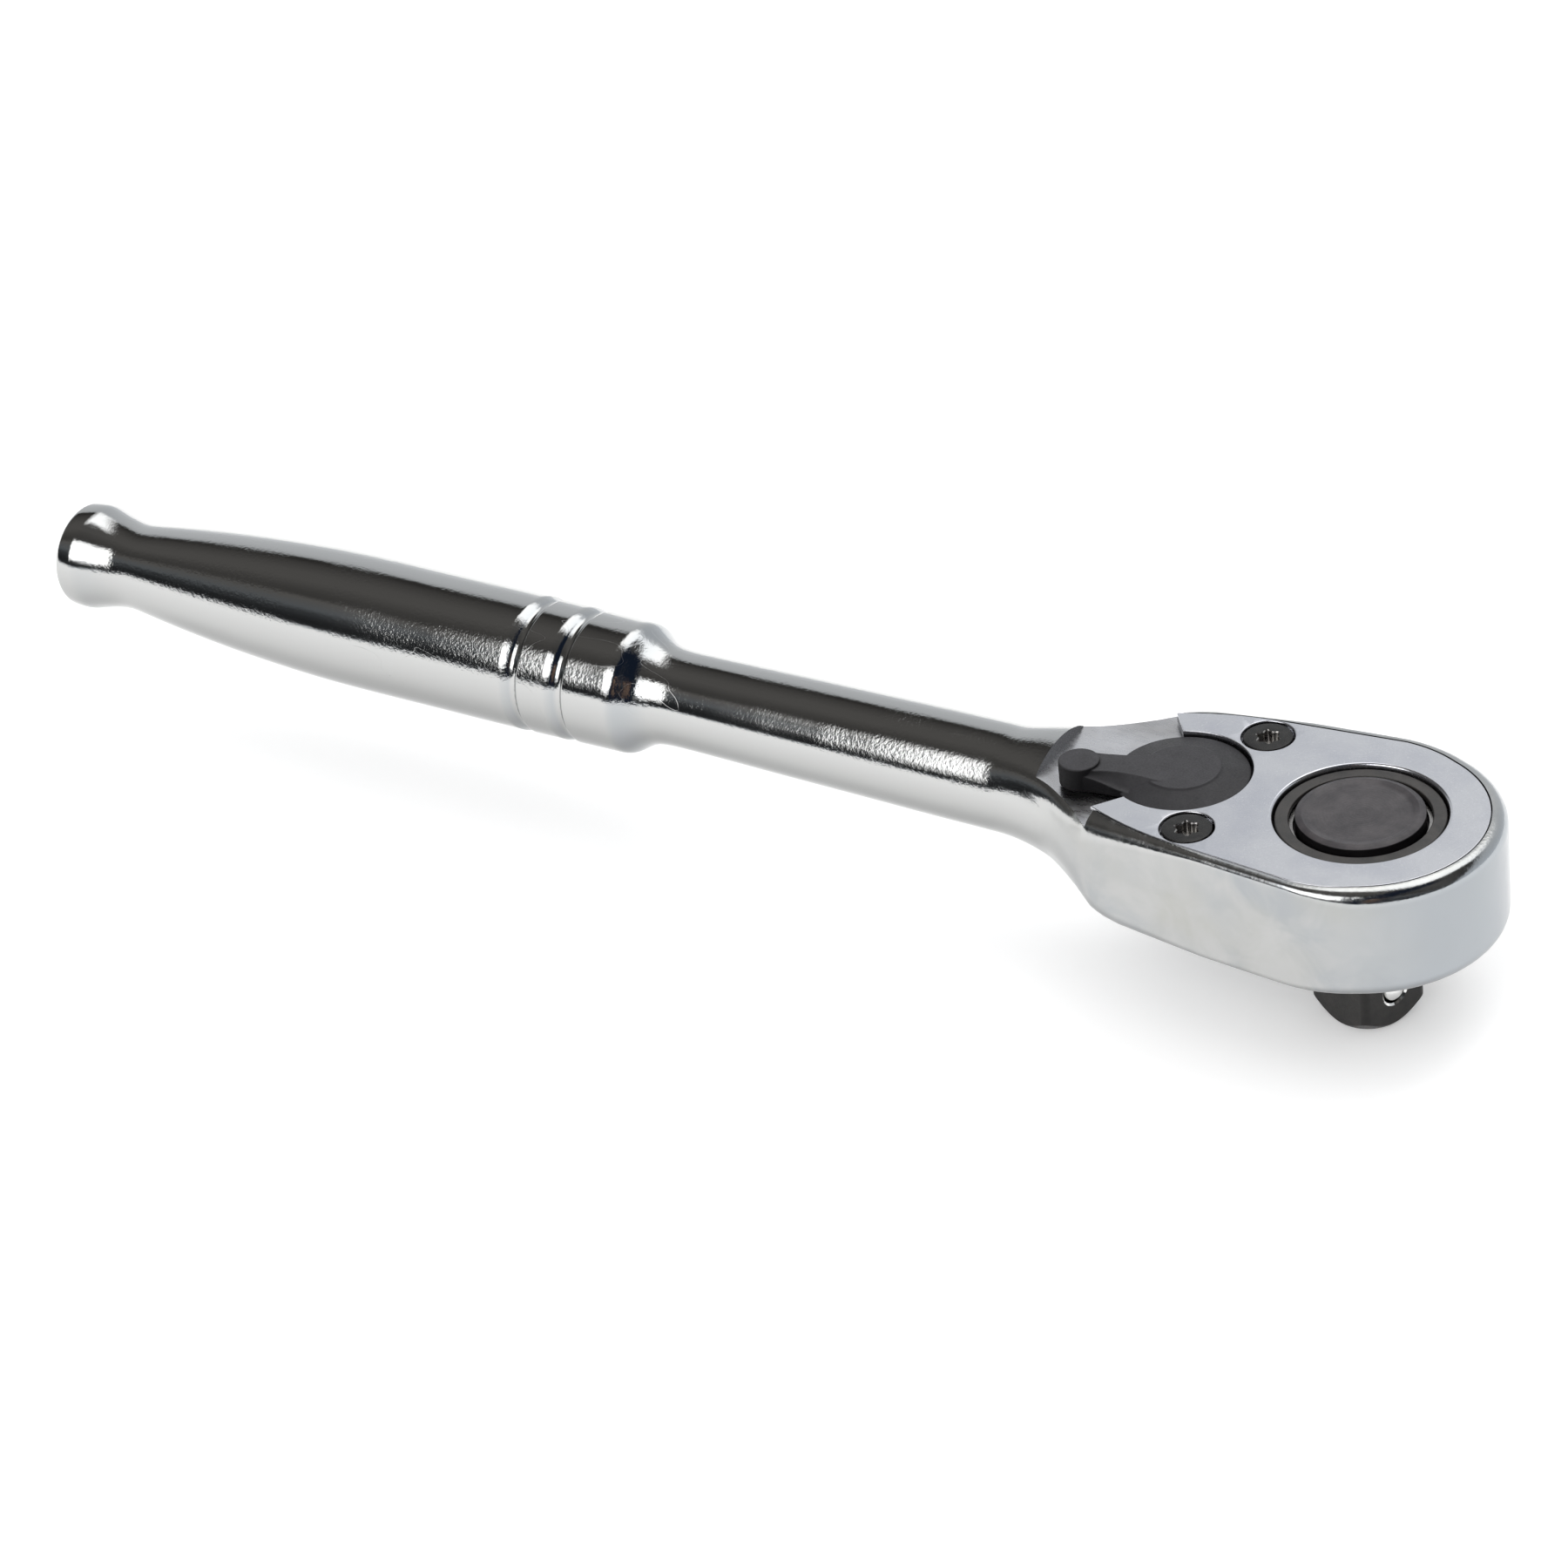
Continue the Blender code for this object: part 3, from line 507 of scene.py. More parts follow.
body = {
    "knob": [(-187.0, 7.1), (-185.2, 6.75), (-182.6, 6.15), (-180.0, 5.88), (-177.0, 6.15), (-171.0, 6.9),
             (-163.0, 7.7), (-154.5, 8.3), (-146.0, 8.66), (-132.0, 8.72), (-118.0, 8.7), (-103.0, 8.45),
             (-100.2, 8.41)],
    "shoulder": [(-99.0, 8.2), (-98.2, 7.72), (-97.0, 6.98), (-95.6, 6.42), (-94.0, 6.17), (-92.0, 6.1)],
    "neck": [(-92.0, 6.1), (-80.0, 6.27), (-66.0, 6.46), (-52.0, 6.63), (-46.0, 6.68)],
    "grooves": (-113.7, -106.9), "grooveHalf": 1.0, "grooveDepth": 0.6,
    "flareX": (-46.0, -43.0, -40.0, -37.0, -34.0, -31.0, -28.0, -24.0, -12.0),
    "flareReach": (6.68, 7.12, 7.95, 9.1, 10.7, 12.25, 13.5, 14.4, 15.55),
    "flareRise": (6.68, 7.1, 7.4, 7.4, 7.25, 7.1, 7.1, 7.1, 7.1),
    "flareDrop": (6.68, 6.62, 6.6, 6.65, 6.8, 6.95, 7.1, 7.1, 7.1),
    "flareSquare": (0.0, 0.08, 0.22, 0.42, 0.65, 0.85, 1.0, 1.0, 1.0),
    "flareEdge": (4.2, 4.2, 4.6, 5.0, 5.0, 4.6, 3.4, 2.2, 0.85),
    "sideEdge": 0.85, "noseEdge": 1.7, "flatSteps": 9, "edgeSteps": 8, "sideSteps": 9, "noseSteps": 56,
}


def sideReach(x):
    return noseRadius + x * math.sin(sideTaper)


def handleProfile():
    # (x, radius) from the knob's end to the start of the flare
    xs, rs = zip(*body["knob"])
    grip = naturalCurve(xs, rs, 0.0, -0.01)
    points = [(-189.6, 0.0), (-189.6, 3.0), (-189.6, 5.6)]
    for turn in range(1, 10):
        angle = math.radians(10 * turn)
        points.append((-188.4 - 1.2 * math.cos(angle), 5.6 + 1.45 * math.sin(angle)))
    points += [(-187.9, 7.09)]
    x = -187.0
    while x < -100.3:
        radius = grip(x)
        for centre in body["grooves"]:
            off = abs(x - centre) / body["grooveHalf"]
            if off < 1:
                radius -= body["grooveDepth"] * math.cos(off * math.pi / 2) ** 0.6
        points.append((x, radius))
        near = min(abs(x - centre) for centre in body["grooves"])
        x += 0.1 if near < 1.1 else 0.7
    xs, rs = zip(*([(-100.2, 8.41)] + body["shoulder"]))
    shoulder = naturalCurve(xs, rs, -0.01, -0.0)
    x = -100.2
    while x < -92.1:
        points.append((x, shoulder(x)))
        x += 0.25
    xs, rs = zip(*body["neck"])
    neck = naturalCurve(xs, rs, 0.004, 0.02)
    x = -92.0
    while x < -46.1:
        points.append((x, neck(x)))
        x += 1.0
    return points


def headSection(reach, rise, drop, square, edge):
    # half section from the top centre round the side to the bottom centre
    flat, tall = reach - edge, rise - edge
    quarter = []
    for i in range(body["flatSteps"]):
        quarter.append((i / body["flatSteps"] / 6, flat * i / body["flatSteps"], rise))
    quarter.append((0.98 / 6, flat * 0.985, rise))
    for i in range(body["edgeSteps"] + 1):
        turn = math.pi / 2 * (1 - i / body["edgeSteps"])
        share = (1 + i / body["edgeSteps"]) / 6
        quarter.append((share, flat + edge * math.cos(turn), tall + edge * math.sin(turn)))
    quarter.append((2.03 / 6, reach, tall * 0.98))
    for i in range(1, body["sideSteps"] + 1):
        quarter.append(((2 + i / body["sideSteps"]) / 6, reach, tall * (1 - i / body["sideSteps"])))
    whole = quarter + [(1 - t, y, -z) for t, y, z in reversed(quarter[:-1])]
    points = []
    for t, y, z in whole:
        angle = math.pi * (0.5 - t)
        roundY, roundZ = reach * math.cos(angle), rise * math.sin(angle)
        height = roundZ + (z - roundZ) * square
        points.append((roundY + (y - roundY) * square, height if height >= 0 else height * drop / rise))
    return points


def bodyRings():
    rings = []
    for x, radius in handleProfile():
        rings.append([(x, s, z) for s, z in headSection(radius, radius, radius, 0.0, body["sideEdge"])])
    xs = body["flareX"]
    reach = naturalCurve(xs, body["flareReach"], 0.03, math.sin(sideTaper))
    rise = naturalCurve(xs, body["flareRise"], 0.05, 0.0)
    drop = naturalCurve(xs, body["flareDrop"], 0.0, 0.0)
    x = xs[0]
    while x < -0.3:
        inFlare = x < -26.0
        square = float(np.interp(x, xs, body["flareSquare"]))
        side = reach(x) if x < -24.0 else sideReach(x)
        up, down = (rise(x), drop(x)) if x < -24.0 else (halfHead, halfHead)
        turn = math.pi / 2 + sideTaper * min(max((x + 38.0) / 12.0, 0.0), 1.0)
        half = headSection(side, up, down, square, float(np.interp(x, xs, body["flareEdge"])))
        rings.append([(x + s * math.cos(turn), s * math.sin(turn), z) for s, z in half])
        x += 0.6 if inFlare else 2.0
    for i in range(body["noseSteps"] + 1):
        share = i / body["noseSteps"]
        turn = (math.pi / 2 + sideTaper) * (1 - share)
        edge = body["sideEdge"] + (body["noseEdge"] - body["sideEdge"]) * min(3.5 * share, 1.0)
        half = headSection(noseRadius - 0.05 * math.sin(turn) ** 2, halfHead, halfHead, 1.0, edge)
        rings.append([(s * math.cos(turn), s * math.sin(turn), z) for s, z in half])
    return rings


def forgingMesh():
    points, faces = [], []
    rings = bodyRings()
    half = len(rings[0])
    loop = 2 * half - 2
    for row in rings:
        points += [(x, -y, axisZ + z) for x, y, z in row]
        points += [(x, y, axisZ + z) for x, y, z in reversed(row[1:-1])]
    for i in range(len(rings) - 1):
        for k in range(loop):
            n = (k + 1) % loop
            faces.append((i * loop + k, i * loop + n, (i + 1) * loop + n, (i + 1) * loop + k))
    mesh = cleanMesh(meshFrom("handleBody", points, faces))
    shape = bmesh.new()
    shape.from_mesh(mesh)
    bmesh.ops.triangulate(shape, faces=shape.faces)
    shape.to_mesh(mesh)
    shape.free()
    return mesh


def rimLine(rear, sideInset, noseInset):
    # line inside the head's rim, from its rear end round to the nose
    points = []
    across = math.pi / 2 + sideTaper
    for x in np.linspace(rear + 1.22, 0.0, 16):
        reach = sideReach(x) - sideInset - cuts["rearTuck"] * max(0.0, -16.0 - x) ** 2
        points.append((x + reach * math.cos(across), reach * math.sin(across)))
    start = 90.0 + math.degrees(sideTaper)
    for i in range(1, 61):
        turn = math.radians(start * (1 - i / 60))
        reach = noseRadius - sideInset - (noseInset - sideInset) * min(3.5 * i / 60, 1.0)
        points.append((reach * math.cos(turn), reach * math.sin(turn)))
    return points


cuts = {"notchX": -39.2, "rearTuck": 0.013, "gearR": 12.4, "floorZ": 15.9, "journalR": 7.3,
        "leverR": 8.35, "stemR": 3.3,
        "recessZ": headTop - 3.4, "rimSide": 1.1, "rimNose": 1.8, "seam": 0.14}


def softened(piece, vertexMesh, tree):
    # the uncut surface lends its shading to what is left of it
    mesh = piece.data
    lent = [vertex.normal.copy() for vertex in vertexMesh.vertices]
    corners = [tuple(polygon.vertices) for polygon in vertexMesh.polygons]
    known = {}
    normals = []
    mesh.shade_smooth()
    mesh.set_sharp_from_angle(angle=math.radians(30.0))
    own = [Vector(entry.vector) for entry in mesh.corner_normals]
    for polygon in mesh.polygons:
        for loop in polygon.loop_indices:
            index = mesh.loops[loop].vertex_index
            if polygon.material_index != 0:
                normals.append(own[loop])
                continue
            if index not in known:
                spot, _, face, _ = tree.find_nearest(mesh.vertices[index].co)
                outline = [vertexMesh.vertices[v].co for v in corners[face]]
                weights = poly_3d_calc(outline, spot)
                mixed = sum((lent[v] * w for v, w in zip(corners[face], weights)), Vector())
                known[index] = mixed.normalized()
            normals.append(known[index])
    mesh.normals_split_custom_set(normals)


def makeBody():
    whole = forgingMesh()
    piece = newPiece("handleBody", whole.copy())
    dress(piece, "chrome", "milled")
    above = headTop + 4.0
    rear = plateLow.x
    rim = rimLine(rear + 0.7, cuts["rimSide"], cuts["rimNose"])
    pocket = [(cuts["notchX"], 20.0), (rear - 1.3, 20.0)] + rim
    tongue = [(leverX, 0.0)] + arcPoints((leverX, 0.0), 9.8, -52.0, 52.0, 24)
    pawl = [(-21.6, 3.7), (-19.6, 4.9), (-18.3, 6.4), (-15.2, 8.7), (-13.6, 10.5), (-11.5, 12.6),
            (-7.4, 12.6), (-5.0, 10.8)]
    low, recess = cuts["floorZ"], cuts["recessZ"]
    cutters = [
        newPiece("platePocket", prismMesh("platePocket", mirrored(pocket), seatZ, above)),
        newPiece("gearBore", prismMesh("gearBore", ring((0, 0), cuts["gearR"]), low, above)),
        newPiece("journalBore", turnedMesh("journalBore", [
            (0.0, headBottom - 1.0), (cuts["journalR"] + 1.3, headBottom - 1.0),
            (cuts["journalR"], headBottom + 0.3), (cuts["journalR"], low + 2.0), (0.0, low + 2.0)])),
        newPiece("pawlPocket", prismMesh("pawlPocket", mirrored(pawl), low, above)),
        newPiece("tongueRecess", prismMesh("tongueRecess", tongue, recess, above)),
        newPiece("leverRecess", prismMesh("leverRecess", ring((leverX, 0), cuts["leverR"]), recess, above)),
        newPiece("stemBore", prismMesh("stemBore", ring((leverX, 0), cuts["stemR"], 48), low - 0.4, above)),
        newPiece("pinHole", prismMesh("pinHole", ring((-16.0, 0), 1.6, 32), low - 1.6, low + 1.0)),
    ]
    for side, (x, y) in screwPlaces.items():
        cutters.append(newPiece("screwHole_" + side, turnedMesh("screwHole_" + side, [
            (0.0, 18.4), (1.8, 18.4), (1.8, 25.4), (3.4, 27.2), (3.4, above), (0.0, above)], 48, (x, y))))
    carve(piece, 'DIFFERENCE', cutters, finishes["milled"])
    tree = BVHTree.FromPolygons([v.co.copy() for v in whole.vertices],
                                [tuple(p.vertices) for p in whole.polygons])
    softened(piece, whole, tree)
    return placePiece(piece, "handle", "chrome_body", "handle_body")


makeBody()


# cover plate, let into the rim of the head

plate = {"gearHole": 10.1, "leverHole": 8.35, "screwHole": 3.22, "edges": (0.12, 0.34, 0.16, 0.16),
         "rearX": -26.6, "rearHalf": 7.5}


def makePlate():
    rim = rimLine(plateLow.x, cuts["rimSide"] + cuts["seam"], cuts["rimNose"] + cuts["seam"])
    outline = mirrored([(plate["rearX"], 0.0), (plate["rearX"], plate["rearHalf"])] + rim)
    # the lever's hole breaks out through the rear edge
    half = math.acos((plate["rearX"] - leverX) / plate["leverHole"])
    start = plate["leverHole"] * math.sin(half)
    leverArc = arcPoints((leverX, 0.0), plate["leverHole"], math.degrees(half), -math.degrees(half), 80)
    outline = leverArc + [p for p in reversed(outline) if abs(p[1]) > start or p[0] > plate["rearX"] + 0.01]
    loops = [outline, ring((0, 0), plate["gearHole"], 128)]
    loops += [ring(place, plate["screwHole"], 64) for place in screwPlaces.values()]
    piece = newPiece("coverPlate", sheetMesh("coverPlate", loops, plateLow.z, headTop, plate["edges"]))
    dress(piece, "satin", "chrome", "milled")
    smoothShade(piece)
    return placePiece(piece, "handle", "satin_plate", "cover_plate")


makePlate()


# cover screws, with six-lobe recesses

screw = {"headR": 2.95, "headTop": headTop - 0.1, "shankR": 1.5, "lobeR": 1.28, "lobeSwing": 0.2, "lobes": 6,
         "recess": 1.1, "tip": 18.8}


def makeScrew(side):
    x, y = screwPlaces[side]
    top = screw["headTop"]
    profile = filleted([(0.0, top, 0), (screw["headR"], top, 0.16), (screw["headR"], top - 0.35, 0.05),
                        (screw["shankR"], top - 1.75, 0.1), (screw["shankR"], screw["tip"] + 0.4, 0.05),
                        (screw["shankR"] - 0.4, screw["tip"], 0.05), (0.0, screw["tip"], 0)])
    piece = newPiece("coverScrew_" + side, turnedMesh("coverScrew_" + side, profile, 72, (x, y)))
    rows = []
    for grow, z in ((0.0, top - screw["recess"]), (0.0, top - 0.14), (0.16, top + 0.02), (0.16, top + 1.0)):
        row = []
        for k in range(72):
            angle = 2 * math.pi * k / 72
            reach = screw["lobeR"] + grow + screw["lobeSwing"] * math.cos(screw["lobes"] * angle)
            row.append((x + reach * math.cos(angle), y + reach * math.sin(angle), z))
        rows += row
    faces = [tuple(range(72)), tuple(range(216, 288))]
    for level in range(3):
        for k in range(72):
            n = (k + 1) % 72
            faces.append((level * 72 + k, level * 72 + n, (level + 1) * 72 + n, (level + 1) * 72 + k))
    star = newPiece("star", cleanMesh(meshFrom("star", rows, faces)))
    dress(piece, "screw")
    carve(piece, 'DIFFERENCE', [star], finishes["spring"])
    smoothShade(piece, 32.0)
    return placePiece(piece, "handle", "screw_black", "cover_screw_" + side)


for side in screwPlaces:
    makeScrew(side)


# reversing lever, drawn along -X and then turned to its rest angle

lever = {
    "rest": 25.5, "discR": 8.05, "bossR": 4.6, "bossTop": headTop + 0.45, "rimTop": headTop - 0.6,
    "discLow": headTop - 3.1, "stemR": 3.0, "stemLow": 15.8, "padReach": 11.9, "padR": 2.45,
    "padTop": headTop + 1.88,
    # stations along the arm: reach, foot half width, ridge height, crest half width, crest height
    "arm": [(1.0, 5.0, 26.9, 3.2, 27.84), (2.6, 4.9, 26.9, 2.9, 27.9), (4.2, 4.6, 26.95, 2.4, 28.1),
            (6.0, 4.1, 27.0, 2.0, 28.35), (7.6, 3.5, 27.3, 1.85, 28.6), (9.2, 2.9, 27.8, 1.85, 28.8),
            (10.6, 2.5, 28.2, 2.0, 28.95), (11.9, 2.35, 28.5, 2.05, 29.05)],
    "armLow": 26.22, "voxel": 0.08,
}


def armMesh():
    points, faces = [], []
    reach, foot, ridge, crest, top = zip(*lever["arm"])
    at = [naturalCurve(reach, column) for column in (foot, ridge, crest, top)]
    for r in np.linspace(reach[0], reach[-1], 45):
        wide, ridgeZ, narrow, topZ = [curve(r) for curve in at]
        side = [(wide, lever["armLow"]), (wide, ridgeZ)]
        for k in range(1, 9):
            t = k / 8
            hollow = 0.28 * (topZ - ridgeZ) * math.sin(math.pi * t)
            side.append((wide + (narrow - wide) * t, ridgeZ + (topZ - ridgeZ) * t - hollow))
        row = side + [(-y, z) for y, z in reversed(side)]
        points += [(-r, y, z) for y, z in row]
        loop = len(row)
    count = len(points) // loop
    for i in range(count - 1):
        for k in range(loop):
            n = (k + 1) % loop
            faces.append((i * loop + k, i * loop + n, (i + 1) * loop + n, (i + 1) * loop + k))
    faces += [tuple(range(loop)), tuple(range(loop * (count - 1), loop * count))]
    return cleanMesh(meshFrom("arm", points, faces))


def makeLever():
    low, top = lever["discLow"], lever["bossTop"]
    disc = filleted([(0.0, top, 0), (lever["bossR"], top, 0.1), (lever["bossR"] + 0.2, top - 0.16, 0.1),
                     (lever["discR"], lever["rimTop"], 0.15),
                     (lever["discR"], low, 0.1), (lever["stemR"], low, 0.1),
                     (lever["stemR"], lever["stemLow"], 0.15), (0.0, lever["stemLow"], 0)])
    pad = filleted([(0.0, lever["padTop"], 0), (lever["padR"], lever["padTop"], 0.15),
                    (lever["padR"], lever["armLow"] + 0.1, 0.1), (0.0, lever["armLow"] + 0.1, 0)])
    piece = newPiece("reversingLever", turnedMesh("reversingLever", disc, 128))
    tongue = prismMesh("tongue", [(4.0, -3.2), (8.9, -3.2), (8.9, 3.2), (4.0, 3.2)], low + 0.2, seatZ - 0.3)
    carve(piece, 'UNION', [newPiece("arm", armMesh()), newPiece("tongue", tongue),
                           newPiece("pad", turnedMesh("pad", pad, 96, (-lever["padReach"], 0.0)))])
    bore = newPiece("bore", prismMesh("bore", ring((0, 0), 1.4, 32), -3.8, 3.8))
    bore.rotation_euler = (0.0, math.pi / 2, 0.0)
    bore.location = (2.2 * mm, 0.0, axisZ * mm)
    carve(piece, 'DIFFERENCE', [bore])
    remesh = piece.modifiers.new("even grid", 'REMESH')
    remesh.mode = 'VOXEL'
    remesh.voxel_size = lever["voxel"] * mm
    relax = piece.modifiers.new("soft edges", 'SMOOTH')
    relax.factor = 0.5
    relax.iterations = 2
    bakeModifiers(piece)
    piece.data.shade_smooth()
    turn = math.radians(lever["rest"])
    for vertex in piece.data.vertices:
        x, y, z = vertex.co
        vertex.co = (leverX * mm + x * math.cos(turn) - y * math.sin(turn),
                     x * math.sin(turn) + y * math.cos(turn), z)
    dress(piece, "lever")
    return placePiece(piece, "lever", "lever_black", "reversing_lever")


makeLever()


# drive gear, hub and square in one piece

drive = {"turn": -22.0, "teeth": 72, "tipR": 12.0, "rootR": 11.3, "gearLow": 16.2, "gearTop": 24.4,
         "hubR": 9.85, "hubTop": headTop - 0.5, "wellR": 8.25, "wellLow": 20.0, "journalR": 7.0,
         "journalLow": headBottom - 0.3, "coreR": 10.8, "coreLow": 17.0, "slotR": 8.85, "slotLow": 25.2,
         "slotHigh": 26.3, "square": 9.525, "cornerCut": 0.85, "tipR0": 4.4, "ballZ": 4.8,
         "holeR": 1.7, "pinBore": 2.3}


def squareMesh():
    half, cut = drive["square"] / 2, drive["cornerCut"]
    outline = []
    for corner in range(4):
        turn = math.pi / 2 * corner
        for k in range(5):
            angle = math.radians(90 * k / 4)
            x, y = half - cut + cut * math.cos(angle), half - cut + cut * math.sin(angle)
            outline.append((x * math.cos(turn) - y * math.sin(turn), x * math.sin(turn) + y * math.cos(turn)))
    return prismMesh("square", outline, 0.0, headBottom + 2.0)


def makeDrive():
    tall = drive["hubTop"]
    foot, well = drive["gearTop"] - 2.0, drive["wellR"]
    hub = filleted([(0.0, foot, 0), (drive["hubR"], foot, 0), (drive["hubR"], tall, 0.2), (well, tall, 0.15),
                    (well, drive["slotHigh"], 0), (drive["slotR"], drive["slotHigh"], 0),
                    (drive["slotR"], drive["slotLow"], 0), (well, drive["slotLow"], 0),
                    (well, drive["wellLow"], 0), (0.0, drive["wellLow"], 0)])
    hub = hub[1:]
    hub[-1] = (0.0, drive["wellLow"])
    profile = [(0.0, drive["journalLow"]), (drive["journalR"] - 0.25, drive["journalLow"]),
               (drive["journalR"], drive["journalLow"] + 0.25), (drive["journalR"], drive["coreLow"]),
               (drive["coreR"], drive["coreLow"]), (drive["coreR"], foot)]
    profile += hub
    piece = newPiece("driveGear", turnedMesh("driveGear", profile, 128))
    teeth = []
    for i in range(drive["teeth"]):
        for share, radius in ((0.0, drive["tipR"]), (0.5, drive["rootR"])):
            angle = math.radians(-drive["turn"]) + 2 * math.pi * (i + share) / drive["teeth"]
            teeth.append((radius * math.cos(angle), radius * math.sin(angle)))
    toothed = newPiece("toothed", sheetMesh("toothed", [teeth, ring((0, 0), 9.0, 64)],
                                            drive["gearLow"], drive["gearTop"], (0.1, 0.1)))
    square = newPiece("square", squareMesh())
    tip = [(0.0, 0.0), (drive["tipR0"], 0.0), (drive["tipR0"] + 18.0, 18.0), (0.0, 18.0)]
    carve(square, 'INTERSECT', [newPiece("tip", turnedMesh("tip", tip, 160))])
    rounded = square.modifiers.new("broken edges", 'BEVEL')
    rounded.width = 0.12 * mm
    rounded.segments = 3
    rounded.limit_method = 'ANGLE'
    rounded.angle_limit = math.radians(28.0)
    bakeModifiers(square)
    carve(piece, 'UNION', [toothed, square])
    half = drive["square"] / 2
    hole = turnedMesh("ballHole", [(0.0, 1.0), (drive["holeR"], 1.0), (drive["holeR"], half - 0.18),
                                   (drive["holeR"] + 0.4, half + 0.1), (drive["holeR"] + 0.4, half + 2.0),
                                   (0.0, half + 2.0)], 64)
    hole = newPiece("ballHole", hole)
    hole.rotation_euler = (0.0, math.pi / 2, 0.0)
    hole.location = (0.0, 0.0, drive["ballZ"] * mm)
    bore = newPiece("pinBore", prismMesh("pinBore", ring((0, 0), drive["pinBore"], 48), 1.6,
                                         drive["wellLow"] + 1.0))
    dress(piece, "drive")
    carve(piece, 'DIFFERENCE', [hole], finishes["ball"])
    carve(piece, 'DIFFERENCE', [bore], finishes["drive"])
    turn = math.radians(drive["turn"])
    for vertex in piece.data.vertices:
        x, y, z = vertex.co
        vertex.co = (x * math.cos(turn) - y * math.sin(turn), x * math.sin(turn) + y * math.cos(turn), z)
    smoothShade(piece, 28.0)
    return placePiece(piece, "drive", "drive_black", "drive_gear")


makeDrive()


# release button and detent ball

button = {"radius": 7.5, "top": headTop + 0.2, "dish": headTop - 0.05, "rimIn": 6.75,
          "flangeR": 8.0, "flangeTop": 24.9, "foot": 23.4, "roof": 26.2,
          "skirtIn": 6.4, "bossR": 2.6, "bossHoleR": 1.5, "bossHoleDepth": 2.0}


def makeButton():
    top, dish = button["top"], button["dish"]
    flange, foot, roof = button["flangeTop"], button["foot"], button["roof"]
    skirt, boss, hole = button["skirtIn"], button["bossR"], button["bossHoleR"]
    deep = roof - button["bossHoleDepth"]
    corners = [(0.0, dish, 0), (5.9, dish + 0.02, 1.2), (button["rimIn"], top, 0.3),
               (button["radius"], top - 0.28, 0.14), (button["radius"], flange, 0.05),
               (button["flangeR"], flange, 0.05), (button["flangeR"], foot, 0.05), (skirt, foot, 0.05),
               (skirt, roof, 0.05), (boss, roof, 0), (boss, deep, 0), (hole, deep, 0), (hole, roof, 0),
               (0.0, roof, 0)]
    piece = newPiece("releaseButton", turnedMesh("releaseButton", filleted(corners), 128))
    dress(piece, "button")
    smoothShade(piece, 32.0)
    return placePiece(piece, "button", "button_black", "release_button")


makeButton()


def makeBall():
    low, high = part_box("detent_ball")
    shape = bmesh.new()
    bmesh.ops.create_uvsphere(shape, u_segments=48, v_segments=24, radius=(high.z - low.z) / 2)
    bmesh.ops.translate(shape, verts=shape.verts, vec=(low + high) / 2)
    mesh = bpy.data.meshes.new("detentBall")
    shape.to_mesh(mesh)
    shape.free()
    mesh.shade_smooth()
    piece = newPiece("detentBall", mesh)
    dress(piece, "ball")
    return placePiece(piece, "ball", "ball_steel", "detent_ball")


makeBall()


# the return spring is drawn at its pressed height, so that the button can come down on it
buttonSpring = {"radius": 4.6, "wire": 0.35, "turns": 4, "high": 24.1, "steps": 40, "sides": 12}


def makeButtonSpring():
    wire, steps, sides = buttonSpring["wire"], buttonSpring["steps"], buttonSpring["sides"]
    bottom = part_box("button_spring")[0].z / mm + wire
    rise = buttonSpring["high"] - wire - bottom
    count = buttonSpring["turns"] * steps
    points, faces = [], []
    for i in range(count + 1):
        angle = 2 * math.pi * i / steps
        for k in range(sides):
            turn = 2 * math.pi * k / sides
            reach = buttonSpring["radius"] + wire * math.cos(turn)
            points.append((reach * math.cos(angle), reach * math.sin(angle),
                           bottom + rise * i / count + wire * math.sin(turn)))
    for i in range(count):
        for k in range(sides):
            n = (k + 1) % sides
            faces.append((i * sides + k, i * sides + n, (i + 1) * sides + n, (i + 1) * sides + k))
    faces += [tuple(range(sides)), tuple(range(count * sides, (count + 1) * sides))]
    piece = newPiece("buttonSpring", cleanMesh(meshFrom("buttonSpring", points, faces)))
    dress(piece, "spring")
    smoothShade(piece)
    return placePiece(piece, "drive", "spring_wire", "button_spring")


makeButtonSpring()


# the other inner parts keep their CAD shapes and take a real finish

innerParts = {"pawl": "inner", "pawl_pin": "inner", "pawl_plunger": "inner", "release_pin": "inner",
              "plunger_spring": "spring", "friction_ring": "spring", "button_retaining_ring": "spring"}
for name, finish in innerParts.items():
    node = frame["nodes"][name]
    for place in node.material_slots:
        place.material = finishes[finish]
print("inner parts finished")


# studio

